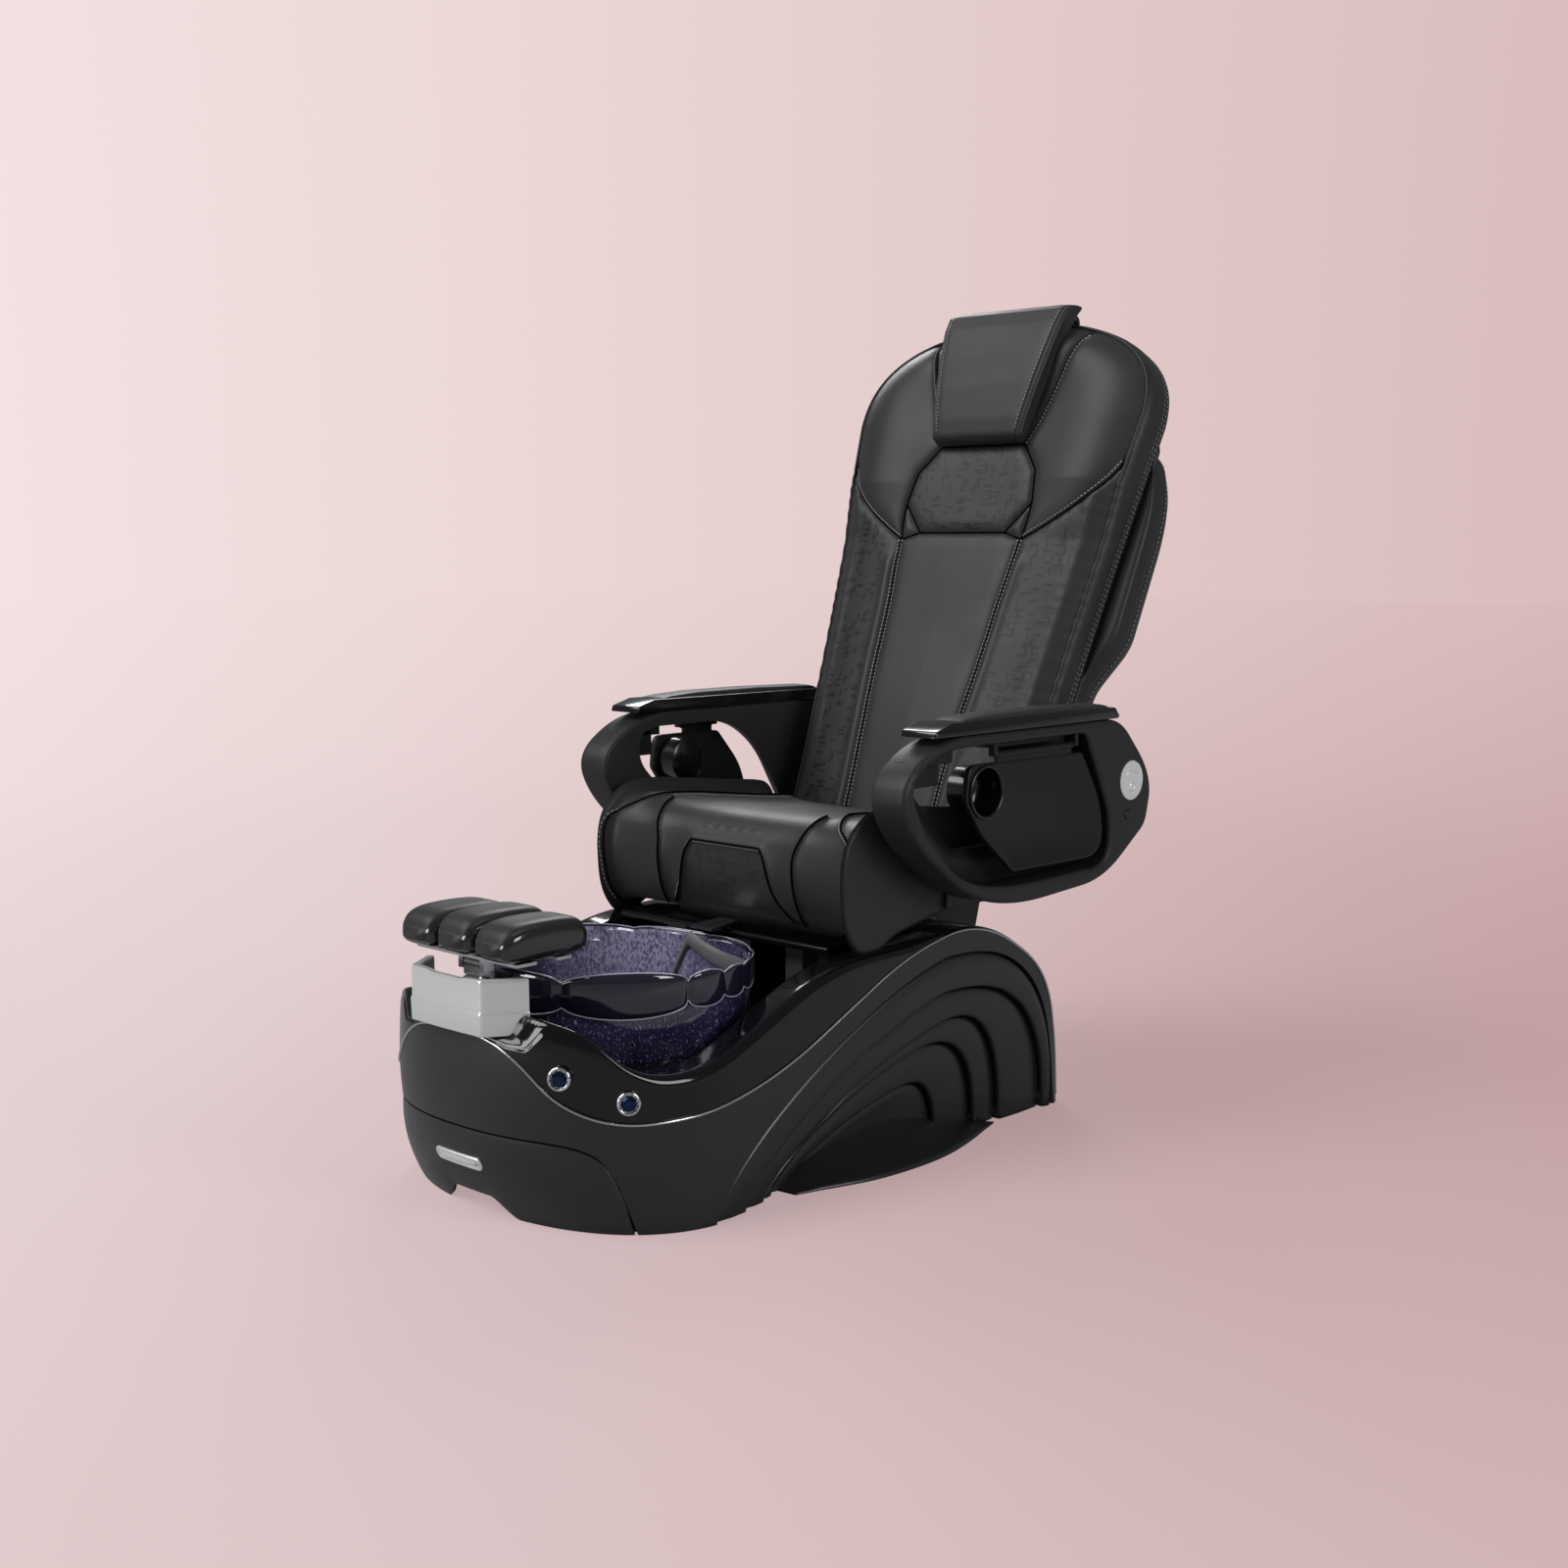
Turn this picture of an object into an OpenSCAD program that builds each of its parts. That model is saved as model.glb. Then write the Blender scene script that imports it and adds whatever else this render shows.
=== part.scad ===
// Pedicure spa chair: a reclining seat on a base that carries a glass foot bowl.
// Millimetres. +Z is up, -Y is the footrest end, +X is the sitter's left. The floor is z = 0.

/* [Base] */
// Half the width of the base shell
base_half_w = 325; // [310:1:335]
// How far the nose of the base reaches in front of its straight sides
nose_reach = 292; // [270:1:300]
// Thickness of the moulded base shells
shell_t = 8; // [6:0.5:10]
// Width of the ledge between the bowl and the sides of the base
ledge_w = 66; // [60:1:68]
// Depth of each step of the side panels
arch_step = 12; // [8:1:14]

/* [Foot bowl] */
// Half the width of the glass bowl at its rim
bowl_half_w = 252; // [240:1:255]
// Half the length of the glass bowl at its rim
bowl_half_l = 246; // [236:1:248]
// Height of the rim between its ruffles
rim_z = 376; // [370:1:382]
// Height of the ruffles of the rim
ruffle_h = 14; // [6:1:16]
// Number of ruffles round the rim
ruffles = 10; // [8:1:12]
// Thickness of the glass
glass_t = 7; // [6:0.5:8]

/* [Footrest] */
// Width of one footrest pad
foot_pad_w = 92; // [84:1:94]
// Length of the footrest pads
foot_pad_l = 172; // [150:1:176]
// Radius of the footrest post
post_r = 15; // [13:0.5:16]

/* [Seat] */
// Half the width of the seat cushion
seat_half_w = 304; // [290:1:304]
// Height of the top of the seat cushion at its front
seat_top_z = 588; // [575:1:595]

/* [Backrest] */
// Lean of the backrest from upright at rest, in degrees
back_lean = 21.8; // [20:0.1:24]
// Length of the backrest cushion along its slope
back_len = 1066; // [1040:1:1070]
// Half the width of the backrest at its wings
wing_half_w = 360; // [345:1:362]
// Half the width of the backrest at its foot
back_half_w = 286; // [270:1:290]
// Thickness of the backrest cushion at its edge
back_t = 82; // [70:1:84]

/* [Arms] */
// Distance from the centre plane to the inner face of an arm
arm_x = 330; // [328:0.5:334]
// Thickness of an arm
arm_t = 75; // [65:1:78]
// Thickness of the flip-up tray
tray_t = 12; // [9:1:13]
// Inside radius of the cup holder
cup_r = 41; // [36:0.5:42]

/* [Hidden] */

// Moves everything along Y so that the origin is under the middle of the whole chair.
y_shift = 24.7;
gap = 0.4;       // clearance between neighbouring covers
run_fit = 0.05;  // radial clearance of a shaft that turns or slides in its bore

// Base plan: an oval nose, straight sides and a squarer tail.
side_y0 = -500;  // where the straight sides start
side_y1 = 200;   // where they end
tail_reach = 245;
nose_n = 2.25;   // exponent of the nose's oval
tail_n = 6;      // exponent of the tail's oval
bulge_z = 220;   // height at which the nose reaches furthest
nose_rake = 57;  // how much the nose draws back at the floor
nose_tuck = 22;  // and at the top of the base
body_z = 400;
levels = [0, 40, 90, 150, 220, 290, 345, body_z];

// Outlines in Y and Z. Each corner is [y, z, cut]: its rounding starts that far from it.
// Bright line between the lower shell and the gloss covers, from nose to tail
trim_corners = [[-800, 312, 1], [-785, 309, 20], [-732, 175, 100], [-431, 185, 165], [-56, 356, 90],
    [150, 391, 120], [352, 266, 90], [402, 86, 50], [412, 0, 1]];
// Upper edge of the surround, which dips at each side so that the bowl shows
dip_corners = [[-800, 306, 1], [-762, 308, 2], [-747, 342, 8], [-712, 324, 14], [-650, 250, 55],
    [-528, 248, 85], [-251, 368, 100], [40, 379, 1]];
// Side panel arches: front foot, crown, crown height, rear foot.
arches = [[-532, 60, 336, 378], [-455, 60, 271, 348], [-402, 82, 217, 227], [-372, 30, 176, 166],
    [-330, -12, 110, 66]];
arch_n_front = 1.35;
arch_n_rear = 2.6;
panel_skin = 10;

// Places on the base
bowl_y = -450;
bowl_floor_z = 150;
post_y = -737;
knob_a = [205, -740, 254]; // on the surround, ahead
knob_a_turn = -57;
knob_b = [278, -668, 215]; // and behind
knob_b_turn = -35;
knob_r = 19;
deck_z = 380;
rear_y = 412;
service_z = 104; // height of the pipes that come out at the back
inlet_x = 60;

// Seat and backrest
rail_z = 398;
pan_z = 417;
hinge_y = 335;   // backrest hinge
hinge_z = 462;
hinge_r = 8;
back_y = 277;    // foot of the backrest's front face
back_z = 515;
pivot_y = 498;   // arm pivot, at the chrome disc
pivot_z = 617;
pivot_r = 9;

// Arm: outer edge, pocket in its outer face, and the window in the pocket's floor
arm_corners = [[465, 736, 42], [579, 620, 78], [555, 527, 20], [420, 437, 68], [57, 418, 186],
    [-142, 566, 65], [-184, 659, 60], [-71, 736, 80]];
pocket_corners = [[352, 716, 14], [434, 556, 30], [430, 464, 60], [16, 458, 176], [-112, 581, 30],
    [-155, 671, 60], [-63, 716, 68]];
window_corners = [[159, 708, 48], [245, 653, 50], [319, 530, 10], [32, 530, 10], [-82, 644, 30],
    [-77, 708, 60]];
// Trays: the left one fills the pocket and the right one stops short of its rear half
left_tray_corners = [[6, 620, 6], [12, 684, 24], [348, 682, 8], [416, 578, 50], [420, 482, 60],
    [143, 484, 8], [51, 558, 20]];
right_tray_corners = [[6, 620, 6], [12, 684, 24], [188, 682, 8], [264, 596, 50], [274, 484, 40],
    [143, 484, 8], [51, 558, 20]];
function tray_corners(s) = s > 0 ? left_tray_corners : right_tray_corners;
function barrel_len(s) = s > 0 ? 230 : 86;
barrel_y = 90;
cup_c = [62, 634];
cup_depth = 56;
tray_x = arm_x + arm_t - tray_t - 8;
tray_hinge = [arm_x + arm_t - 12, 697];

// ---------------------------------------------------------------- helpers

// Extrudes a Y-Z outline along X, from x0 over a length.
module yz(x0, len) {
    translate([x0, 0, 0]) rotate([90, 0, 90]) linear_extrude(len) children();
}

// A cylinder along X.
module rod_x(x0, len, r) {
    translate([x0, 0, 0]) rotate([0, 90, 0]) cylinder(h = len, r = r, $fn = 48);
}

// A cylinder along Y.
module rod_y(y0, len, r) {
    translate([0, y0, 0]) rotate([-90, 0, 0]) cylinder(h = len, r = r, $fn = 48);
}

// Joins closed rings of points into one solid.
module loft(rings) {
    n = len(rings[0]);
    m = len(rings);
    points = [for (ring = rings) for (p = ring) p];
    sides = [for (k = [0:m - 2], i = [0:n - 1]) let (j = (i + 1) % n)
        each [[k * n + i, (k + 1) * n + i, (k + 1) * n + j], [k * n + i, (k + 1) * n + j, k * n + j]]];
    first_cap = [for (i = [1:n - 2]) [0, i, i + 1]];
    last_cap = [for (i = [1:n - 2]) [(m - 1) * n, (m - 1) * n + i + 1, (m - 1) * n + i]];
    polyhedron(points, concat(sides, first_cap, last_cap), convexity = 8);
}

// Superellipse point for an angle: [across, along], each from 0 to 1.
function oval(a, n) = [pow(abs(sin(a)), 2 / n), pow(abs(cos(a)), 2 / n)];

function mix(a, b, t) = a + (b - a) * t;
function bump(u, at, width) = exp(-pow((u - at) / width, 2));

// Half plan of the base at height z, drawn in by an inset, from the nose to the tail.
function nose_at(z) = nose_reach - (z < bulge_z
    ? nose_rake * pow((bulge_z - z) / bulge_z, 2)
    : nose_tuck * pow((z - bulge_z) / (body_z - bulge_z), 2));
function side_at(z) = base_half_w + 8 * pow(max(0, 1 - z / bulge_z), 2) - 6 * max(0, z / body_z - 0.5);
function half_plan(z, inset) = concat(
    [for (a = [0:7.5:90]) let (p = oval(a, nose_n))
        [(side_at(z) - inset) * p.x, side_y0 - (nose_at(z) - inset) * p.y, z]],
    [for (a = [0:15:90]) let (p = oval(90 - a, tail_n))
        [(side_at(z) - inset) * p.x, side_y1 + (tail_reach - inset) * p.y, z]]);
function full_plan(z, inset) = let (h = half_plan(z, inset), n = len(h))
    concat(h, [for (i = [n - 2:-1:1]) [-h[i].x, h[i].y, z]]);

module base_body(inset = 0, low = 0) {
    loft([for (z = levels) full_plan(z == 0 ? low : z, inset)]);
}

// Points of an outline with its corners [y, z, cut] rounded by quadratic curves.
function toward(a, b, d) = let (len = norm([b.x - a.x, b.y - a.y]), t = min(d / len, 0.5))
    [mix(a.x, b.x, t), mix(a.y, b.y, t)];
function bend(a, c, b) = [for (t = [0:0.2:1])
    [(1 - t) * (1 - t) * a.x + 2 * t * (1 - t) * c.x + t * t * b.x,
        (1 - t) * (1 - t) * a.y + 2 * t * (1 - t) * c.y + t * t * b.y]];
function rounded(c, closed = true) = let (n = len(c)) [for (i = [0:n - 1])
    each !closed && (i == 0 || i == n - 1) ? [[c[i].x, c[i].y]]
        : bend(toward(c[i], c[(i + n - 1) % n], c[i][2]), c[i], toward(c[i], c[(i + 1) % n], c[i][2]))];

// Moves a curve of points outward along its normals.
function shifted(pts, d) = let (n = len(pts)) [for (i = [0:n - 1])
    let (t = pts[min(i + 1, n - 1)] - pts[max(i - 1, 0)], len = norm(t))
        pts[i] + [-t.y, t.x] * (d / len)];

trim_pts = rounded(trim_corners, false);
dip_pts = rounded(dip_corners, false);

// Region under a curve of Y-Z points.
module under(pts, lift = 0) {
    polygon(concat([for (p = pts) [p.x, p.y + lift]],
        [[pts[len(pts) - 1].x, -1], [pts[0].x, -1]]));
}

// Outline of a side panel arch, drawn in by an inset.
module arch(a, inset = 0) {
    front = a[1] - a[0] - inset * 1.6;
    rear = a[3] - a[1] - inset;
    top = a[2] - inset;
    polygon(concat(
        [for (t = [0:7.5:90]) let (p = oval(90 - t, arch_n_front)) [a[1] - front * p.x, top * p.y]],
        [for (t = [7.5:7.5:90]) let (p = oval(t, arch_n_rear)) [a[1] + rear * p.x, top * p.y]]));
}

module both_sides() {
    children();
    mirror([1, 0, 0]) children();
}

// ---------------------------------------------------------------- base

// Seam of the removable front panel: it crosses the nose and curves down to the floor.
seam_pts = rounded([[-810, 152, 1], [-712, 146, 50], [-676, 84, 30], [-650, 0, 1]], false);

module front_zone(grow = 0) {
    yz(-400, 800) translate([grow, grow]) under(seam_pts);
}

module lower_shell() {
    color([0.17, 0.17, 0.175])
    difference() {
        intersection() {
            base_body();
            yz(-400, 800) under(trim_pts);
        }
        base_body(shell_t, -1);
        front_zone(gap);
        both_sides() yz(180, 300) arch(arches[0]);
    }
}

// The toe notch at the foot of the nose
notch_half_w = 92;
notch_h = 34;

module front_panel() {
    color([0.18, 0.18, 0.185])
    difference() {
        intersection() {
            base_body();
            front_zone();
        }
        base_body(shell_t, -1);
        translate([0, -600, 0]) rotate([90, 0, 0]) linear_extrude(220)
            polygon([[-notch_half_w, -1], [-40, notch_h], [40, notch_h], [notch_half_w, -1]]);
    }
}

badge_half_l = 58;
badge_r = 11;
badge_z = 93;

module badge_plate() {
    color([0.80, 0.80, 0.80])
    intersection() {
        difference() {
            base_body(-3);
            base_body(-0.2, -1);
        }
        translate([0, -640, badge_z]) rotate([90, 0, 0]) linear_extrude(180) union() {
            square([2 * (badge_half_l - badge_r), 2 * badge_r], center = true);
            for (s = [-1, 1]) translate([s * (badge_half_l - badge_r), 0]) circle(badge_r, $fn = 32);
        }
    }
}

// Clear space round the outside of the bowl
module bowl_room() {
    loft([for (s = bowl_rings) bowl_ring(s, 4, s[1] < rim_z - 40 ? 0 : 60)]);
}

shelf_z = 236;    // underside of the shelf that closes the space round the bowl
deck_front = -196;

// Gloss cover round the bowl: the side walls, and a shelf below their dip
module surround() {
    color([0.055, 0.06, 0.065])
    difference() {
        union() {
            difference() {
                intersection() {
                    base_body();
                    yz(-400, 800) difference() {
                        under(dip_pts);
                        under(trim_pts, gap);
                    }
                }
                base_body(ledge_w, -1);
            }
            intersection() {
                base_body(ledge_w - 6);
                translate([-400, -760, shelf_z]) cube([800, 760 + deck_front + 4, shell_t]);
            }
        }
        bowl_room();
        jet_place() translate([0, 0, -72]) cylinder(h = 58, r = 38, $fn = 48);
        translate([0, post_y, 90]) cylinder(h = 310, r = post_r + 7, $fn = 48);
        translate([0, 0, cap_low - gap]) linear_extrude(100) polygon([[-93, -900], [93, -900],
            [135, -735], [135, -726], [-135, -726], [-135, -735]]);
        knob_place(knob_a, knob_a_turn) translate([0, 0, -80]) cylinder(h = 100, r = 9, $fn = 32);
        knob_place(knob_b, knob_b_turn) translate([0, 0, -80]) cylinder(h = 100, r = 9, $fn = 32);
    }
}

cover_t = 5;      // thickness of the rear cover where it follows the arch
arch_y = 30;      // where the deck turns into the arch

// Deck behind the bowl, rear arch and tail, as one curved cover
module rear_cover() {
    arch_pts = [for (p = trim_pts) if (p.x > arch_y) p];
    outer_pts = shifted(arch_pts, cover_t);
    inner_pts = shifted(arch_pts, gap);
    color([0.05, 0.05, 0.055])
    difference() {
        intersection() {
            base_body(gap);
            yz(-400, 800) union() {
                polygon(concat(outer_pts, [for (i = [len(inner_pts) - 1:-1:0]) inner_pts[i]]));
                translate([deck_front, deck_z - 9]) square([42 - deck_front, 9]);
            }
        }
        for (x = [-inlet_x, inlet_x]) translate([x, 0, service_z]) rod_y(350, 120, 11);
        translate([0, 0, service_z]) rod_y(350, 120, 20.5);
        translate([-150, 400, service_z]) cube([49, 60, 28], center = true);
        intersection() {
            yz(-400, 800) polygon([[-250, 300], [-250, 400], [42, 400], [42, 300]]);
            difference() {
                base_body();
                base_body(ledge_w + gap);
            }
        }
    }
}

// Stepped arches let into each side, with a blade that flares out to the floor
module side_panel() {
    color([0.15, 0.15, 0.155]) {
        for (k = [0:4]) {
            x_out = base_half_w - 3 - arch_step * k;
            yz(x_out - panel_skin - arch_step, panel_skin + arch_step) difference() {
                arch(arches[k], k == 0 ? gap * 2 : 0);
                if (k < 4) arch(arches[k + 1]);
            }
        }
        yz(base_half_w - 3 - arch_step * 5 - panel_skin, panel_skin + arch_step) arch(arches[4]);
        hull() {
            yz(262, 1) polygon([[-350, 0], [-190, 42], [-60, 46], [60, 26], [160, 0]]);
            linear_extrude(2) polygon([[262, -345], [325, -345], [352, -270], [374, -190], [382, -90],
                [376, 0], [352, 100], [318, 200], [262, 200]]);
        }
    }
}

module side_panel_left() { side_panel(); }
module side_panel_right() { mirror([1, 0, 0]) side_panel(); }

// Bright bead along the joint of lower shell and surround, on both sides
module trim_strips() {
    shown = [for (p = trim_pts) if (p.y < 306) p];
    color([0.75, 0.77, 0.78])
    intersection() {
        difference() {
            base_body(-2.5);
            base_body(-0.2, -1);
        }
        both_sides() yz(78, 300) polygon(concat([for (p = shown) [p.x, p.y + 2.2]],
            [for (i = [len(shown) - 1:-1:0]) [shown[i].x, shown[i].y - 2.2]]));
    }
}

cap_low = 307;
cap_high = 396;

module nose_cap() {
    color([0.78, 0.80, 0.79])
    difference() {
        translate([0, 0, cap_low]) linear_extrude(cap_high - cap_low) polygon([[-88, -798], [88, -798],
            [130, -736], [116, -731], [80, -785], [-80, -785], [-116, -731], [-130, -736]]);
        // the middle of the top edge dips
        translate([0, -700, 0]) rotate([90, 0, 0]) linear_extrude(200)
            polygon([[-52, cap_high + 1], [-34, cap_high - 10], [34, cap_high - 10], [52, cap_high + 1]]);
    }
}

// ---------------------------------------------------------------- bowl

// Bowl section: [radius as a share of the rim, height, share of the ruffle]
bowl_rings = [[0.46, bowl_floor_z, 0], [0.66, bowl_floor_z + 10, 0], [0.80, bowl_floor_z + 44, 0],
    [0.89, bowl_floor_z + 96, 0], [0.94, bowl_floor_z + 146, 0], [0.965, rim_z - 36, 0.1],
    [0.985, rim_z - 14, 0.5], [1.0, rim_z, 1]];

function bowl_ring(s, grow, lift = 0) = [for (a = [0:6:354]) let (
        wave = cos(ruffles * a),
        calm = 1 - 0.75 * bump(abs(a - 90), 0, 55),
        r = s[0] + 0.018 * wave * s[2])
    [(bowl_half_w * r + grow) * cos(a), bowl_y + (bowl_half_l * r + grow) * sin(a),
        s[1] - (s[1] == bowl_floor_z ? grow : 0) + lift + ruffle_h * wave * calm * s[2]]];

module glass_bowl() {
    color([0.10, 0.07, 0.16])
    difference() {
        loft(concat([for (s = bowl_rings) bowl_ring(s, 0)],
            [for (i = [len(bowl_rings) - 1:-1:0]) let (s = bowl_rings[i])
                bowl_ring([s[0], i == 0 ? s[1] + glass_t : s[1], s[2]], -glass_t)]));
        translate([0, bowl_y, bowl_floor_z - 5]) cylinder(h = 30, r = 24, $fn = 48);
    }
}

// Cradle under the bowl: a ring on four stub legs
module bowl_support() {
    color([0.35, 0.35, 0.36]) {
        difference() {
            translate([0, bowl_y, bowl_floor_z - 20]) cylinder(h = 19.7, r = 125, $fn = 64);
            translate([0, bowl_y, bowl_floor_z - 21]) cylinder(h = 22, r = 90, $fn = 64);
        }
        for (a = [45:90:315]) translate([107 * cos(a), bowl_y + 107 * sin(a), 80.3])
            cylinder(h = bowl_floor_z - 20 - 80.3, r = 10, $fn = 32);
    }
}

module drain_flange() {
    color([0.80, 0.80, 0.80])
    difference() {
        translate([0, bowl_y, bowl_floor_z - 22]) union() {
            cylinder(h = 32, r = 22, $fn = 48);
            translate([0, 0, 29.5]) cylinder(h = 4, r = 34, $fn = 48);
        }
        translate([0, bowl_y, bowl_floor_z - 23]) cylinder(h = 40, r = 16, $fn = 48);
    }
}

module drain_pipe() {
    color([0.55, 0.55, 0.56])
    difference() {
        union() {
            translate([0, bowl_y, service_z]) cylinder(h = bowl_floor_z - 22.3 - service_z, r = 20,
                $fn = 48);
            translate([0, 0, service_z]) rod_y(bowl_y, rear_y - 4 - bowl_y, 20);
            translate([0, 0, service_z]) rod_y(rear_y - 4, 40, 19);
        }
        translate([0, bowl_y, service_z]) cylinder(h = 60, r = 17, $fn = 48);
        translate([0, 0, service_z]) rod_y(bowl_y, 920, 16);
    }
}

// Pipeless jet on the inside of the bowl's wall, on the sitter's right
jet_z = 224;
jet_x = -199;
jet_lean = 29; // follows the slope of the bowl's wall

module jet_place() {
    translate([jet_x, bowl_y, jet_z]) rotate([0, 90 - jet_lean, 0]) children();
}

module jet_housing() {
    color([0.70, 0.71, 0.72])
    jet_place() difference() {
        union() {
            cylinder(h = 24, r = 42, $fn = 64);
            translate([0, 0, 20]) cylinder(h = 6, r = 48, $fn = 64);
        }
        translate([0, 0, 5]) cylinder(h = 30, r = 35, $fn = 64);
        translate([0, 0, -1]) cylinder(h = 30, r = 4 + run_fit, $fn = 32);
    }
}

// Magnetic drive outside the glass, behind the jet
module jet_motor() {
    color([0.10, 0.10, 0.11])
    jet_place() {
        translate([0, 0, -60]) cylinder(h = 37, r = 30, $fn = 48);
        translate([0, 0, -24]) cylinder(h = 5, r = 36, $fn = 48);
    }
}

module jet_impeller() {
    color([0.85, 0.85, 0.85])
    jet_place() {
        translate([0, 0, 0.5]) cylinder(h = 18, r = 4, $fn = 32);
        translate([0, 0, 8]) cylinder(h = 10, r = 9, $fn = 32);
        for (a = [0:60:300]) rotate([0, 0, a]) translate([7, -1.5, 8]) cube([22, 3, 9]);
    }
}

module spout() {
    color([0.82, 0.83, 0.84]) {
        translate([0, -178, deck_z + 0.2]) cylinder(h = 5, r = 16, $fn = 48);
        hull() {
            translate([-22, -188, deck_z + 4]) cube([44, 22, 8]);
            translate([-27, -240, deck_z + 3]) cube([54, 6, 5]);
        }
    }
}

module water_inlets() {
    color([0.72, 0.62, 0.35])
    for (x = [-inlet_x, inlet_x]) translate([x, 0, service_z]) difference() {
        union() {
            rod_y(rear_y - 30, 40, 10.7);
            rod_y(rear_y + 10, 26, 10);
            rod_y(rear_y - 30, 8, 16);
            rod_y(rear_y - 6, 8, 16);
        }
        rod_y(rear_y - 31, 68, 7);
    }
}

module power_inlet() {
    color([0.08, 0.08, 0.08])
    difference() {
        translate([-150, rear_y - 10, service_z]) cube([48, 26, 27], center = true);
        translate([-150, rear_y + 2, service_z]) cube([36, 18, 16], center = true);
    }
}

// ---------------------------------------------------------------- frame

tube = 40;
long_x = 215;
cross_y = [-546, -394, -160, 20, 250];  // cross members
post_top = [[-160, 370], [20, 370], [250, 300]]; // posts on the last three, with their tops

module base_frame() {
    color([0.30, 0.31, 0.32]) {
        difference() {
            union() {
                for (x = [-long_x, long_x]) translate([x - tube / 2, -600, 40]) cube([tube, 980, tube]);
                for (y = cross_y) translate([-long_x, y, 40]) cube([2 * long_x, tube, tube]);
                translate([-tube / 2, -745, 60]) cube([tube, 219, tube]);
            }
            for (x = [-long_x, long_x], y = [-580, -100, 360])
                translate([x, y, 30]) cylinder(h = 60, r = 6.5, $fn = 32);
        }
    }
}

// Posts from the frame up to the deck
module deck_posts() {
    color([0.30, 0.31, 0.32])
    for (x = [-150, 150], p = post_top)
        translate([x - tube / 2, p.x, 80.2]) cube([tube, tube, p.y - 80.2]);
}

module levelling_feet() {
    color([0.12, 0.12, 0.12])
    for (x = [-long_x, long_x], y = [-580, -100, 360]) translate([x, y, 0]) {
        cylinder(h = 12, r = 24, $fn = 48);
        cylinder(h = 76, r = 6, $fn = 32);
        translate([0, 0, 28]) cylinder(h = 11.7, r = 11, $fn = 6);
    }
}

// Black box between the deck and the seat rails, open underneath
module pedestal() {
    color([0.02, 0.02, 0.022])
    difference() {
        yz(-205, 410) polygon(concat([[-96, deck_z + gap], [arch_y, deck_z + gap]],
            [for (p = shifted(trim_pts, cover_t + 2 * gap)) if (p.x > arch_y + 20 && p.x < 296) p],
            [[300, rail_z - gap], [-96, rail_z - gap]]));
        yz(-197, 394) polygon([[-88, deck_z - 40], [292, deck_z - 200], [292, rail_z - 8],
            [-88, rail_z - 8]]);
    }
}

rail_x = 150;
rail_y0 = -60;
rail_y1 = 290;

module slide_rails() {
    color([0.60, 0.61, 0.62])
    for (x = [-rail_x, rail_x]) {
        translate([x - 18, rail_y0, rail_z]) cube([36, rail_y1 - rail_y0, 4]);
        translate([x - 5, rail_y0, rail_z + 3]) cube([10, rail_y1 - rail_y0, 11]);
    }
}

// ---------------------------------------------------------------- knobs

// Places a knob on the surround, square to its wall.
module knob_place(k, turn) {
    translate(k) rotate([0, 0, turn]) rotate([0, 86, 0]) children();
}

module knob(k, turn) {
    color([0.75, 0.78, 0.82])
    knob_place(k, turn) {
        translate([0, 0, 2]) cylinder(h = 9, r = knob_r, $fn = 48);
        translate([0, 0, 10]) cylinder(h = 4, r = knob_r - 5, $fn = 48);
        translate([0, 0, -40]) cylinder(h = 43, r = 9 - run_fit, $fn = 32);
    }
}

module jet_knob() { knob(knob_a, knob_a_turn); }
module water_knob() { knob(knob_b, knob_b_turn); }

// ---------------------------------------------------------------- footrest

module footrest_socket() {
    color([0.75, 0.76, 0.77])
    translate([0, post_y, 0]) difference() {
        union() {
            translate([0, 0, 100.2]) cylinder(h = 280, r = post_r + 6, $fn = 48);
            translate([-18, -12, 100.2]) cube([36, 24, 30]);
        }
        translate([0, 0, 200]) cylinder(h = 190, r = post_r + run_fit, $fn = 48);
    }
}

tilt_z = 403;

module footrest_post() {
    color([0.80, 0.81, 0.82])
    difference() {
        translate([0, post_y, 0]) union() {
            translate([0, 0, 262]) cylinder(h = 124, r = post_r, $fn = 48);
            translate([-20, -9, 384]) cube([40, 18, 14]);
            translate([0, 0, tilt_z]) rod_x(-20, 40, 9);
        }
        translate([0, post_y, tilt_z]) rod_x(-21, 42, 5 + run_fit);
    }
}

module footrest_bracket() {
    color([0.80, 0.81, 0.82]) {
        translate([0, post_y, tilt_z]) rod_x(-32, 64, 5);
        for (s = [-1, 1]) translate([s * 27 - 5, post_y - 10, tilt_z - 10]) cube([10, 20, 22]);
        translate([-126, post_y - 20, tilt_z + 11.5]) cube([252, 40, 5]);
        translate([-126, post_y + 60, tilt_z + 11.5]) cube([252, 30, 5]);
        for (s = [-1, 1]) translate([s * 60 - 12, post_y, tilt_z + 11.5]) cube([24, 80, 5]);
    }
}

// One padded lobe of the footrest, running front to back
foot_y0 = -786;
function foot_ring(t, w, z0, h) = let (
        e = pow(1 - pow(abs(2 * t - 1), 4), 0.35),
        tip = max(e, 0.34))
    [for (a = [0:22.5:337.5]) let (p = oval(a, 2.8))
        [(w / 2) * (0.5 + 0.5 * tip) * p.x * sign(sin(a) + 1e-9),
            foot_y0 + foot_pad_l * t,
            z0 + h * (0.34 + (cos(a) >= 0 ? 0.66 : -0.34) * p.y * tip)
                + 10 * sin(180 * t) * (cos(a) >= 0 ? 1 : 1 - p.y)]];

module foot_pad(x, h) {
    color([0.25, 0.25, 0.25])
    translate([x, 0, 0])
        loft([for (t = [0, 0.04, 0.12, 0.25, 0.4, 0.55, 0.7, 0.82, 0.93, 0.98, 1])
            foot_ring(t, foot_pad_w, tilt_z + 16.7, h)]);
}

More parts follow.
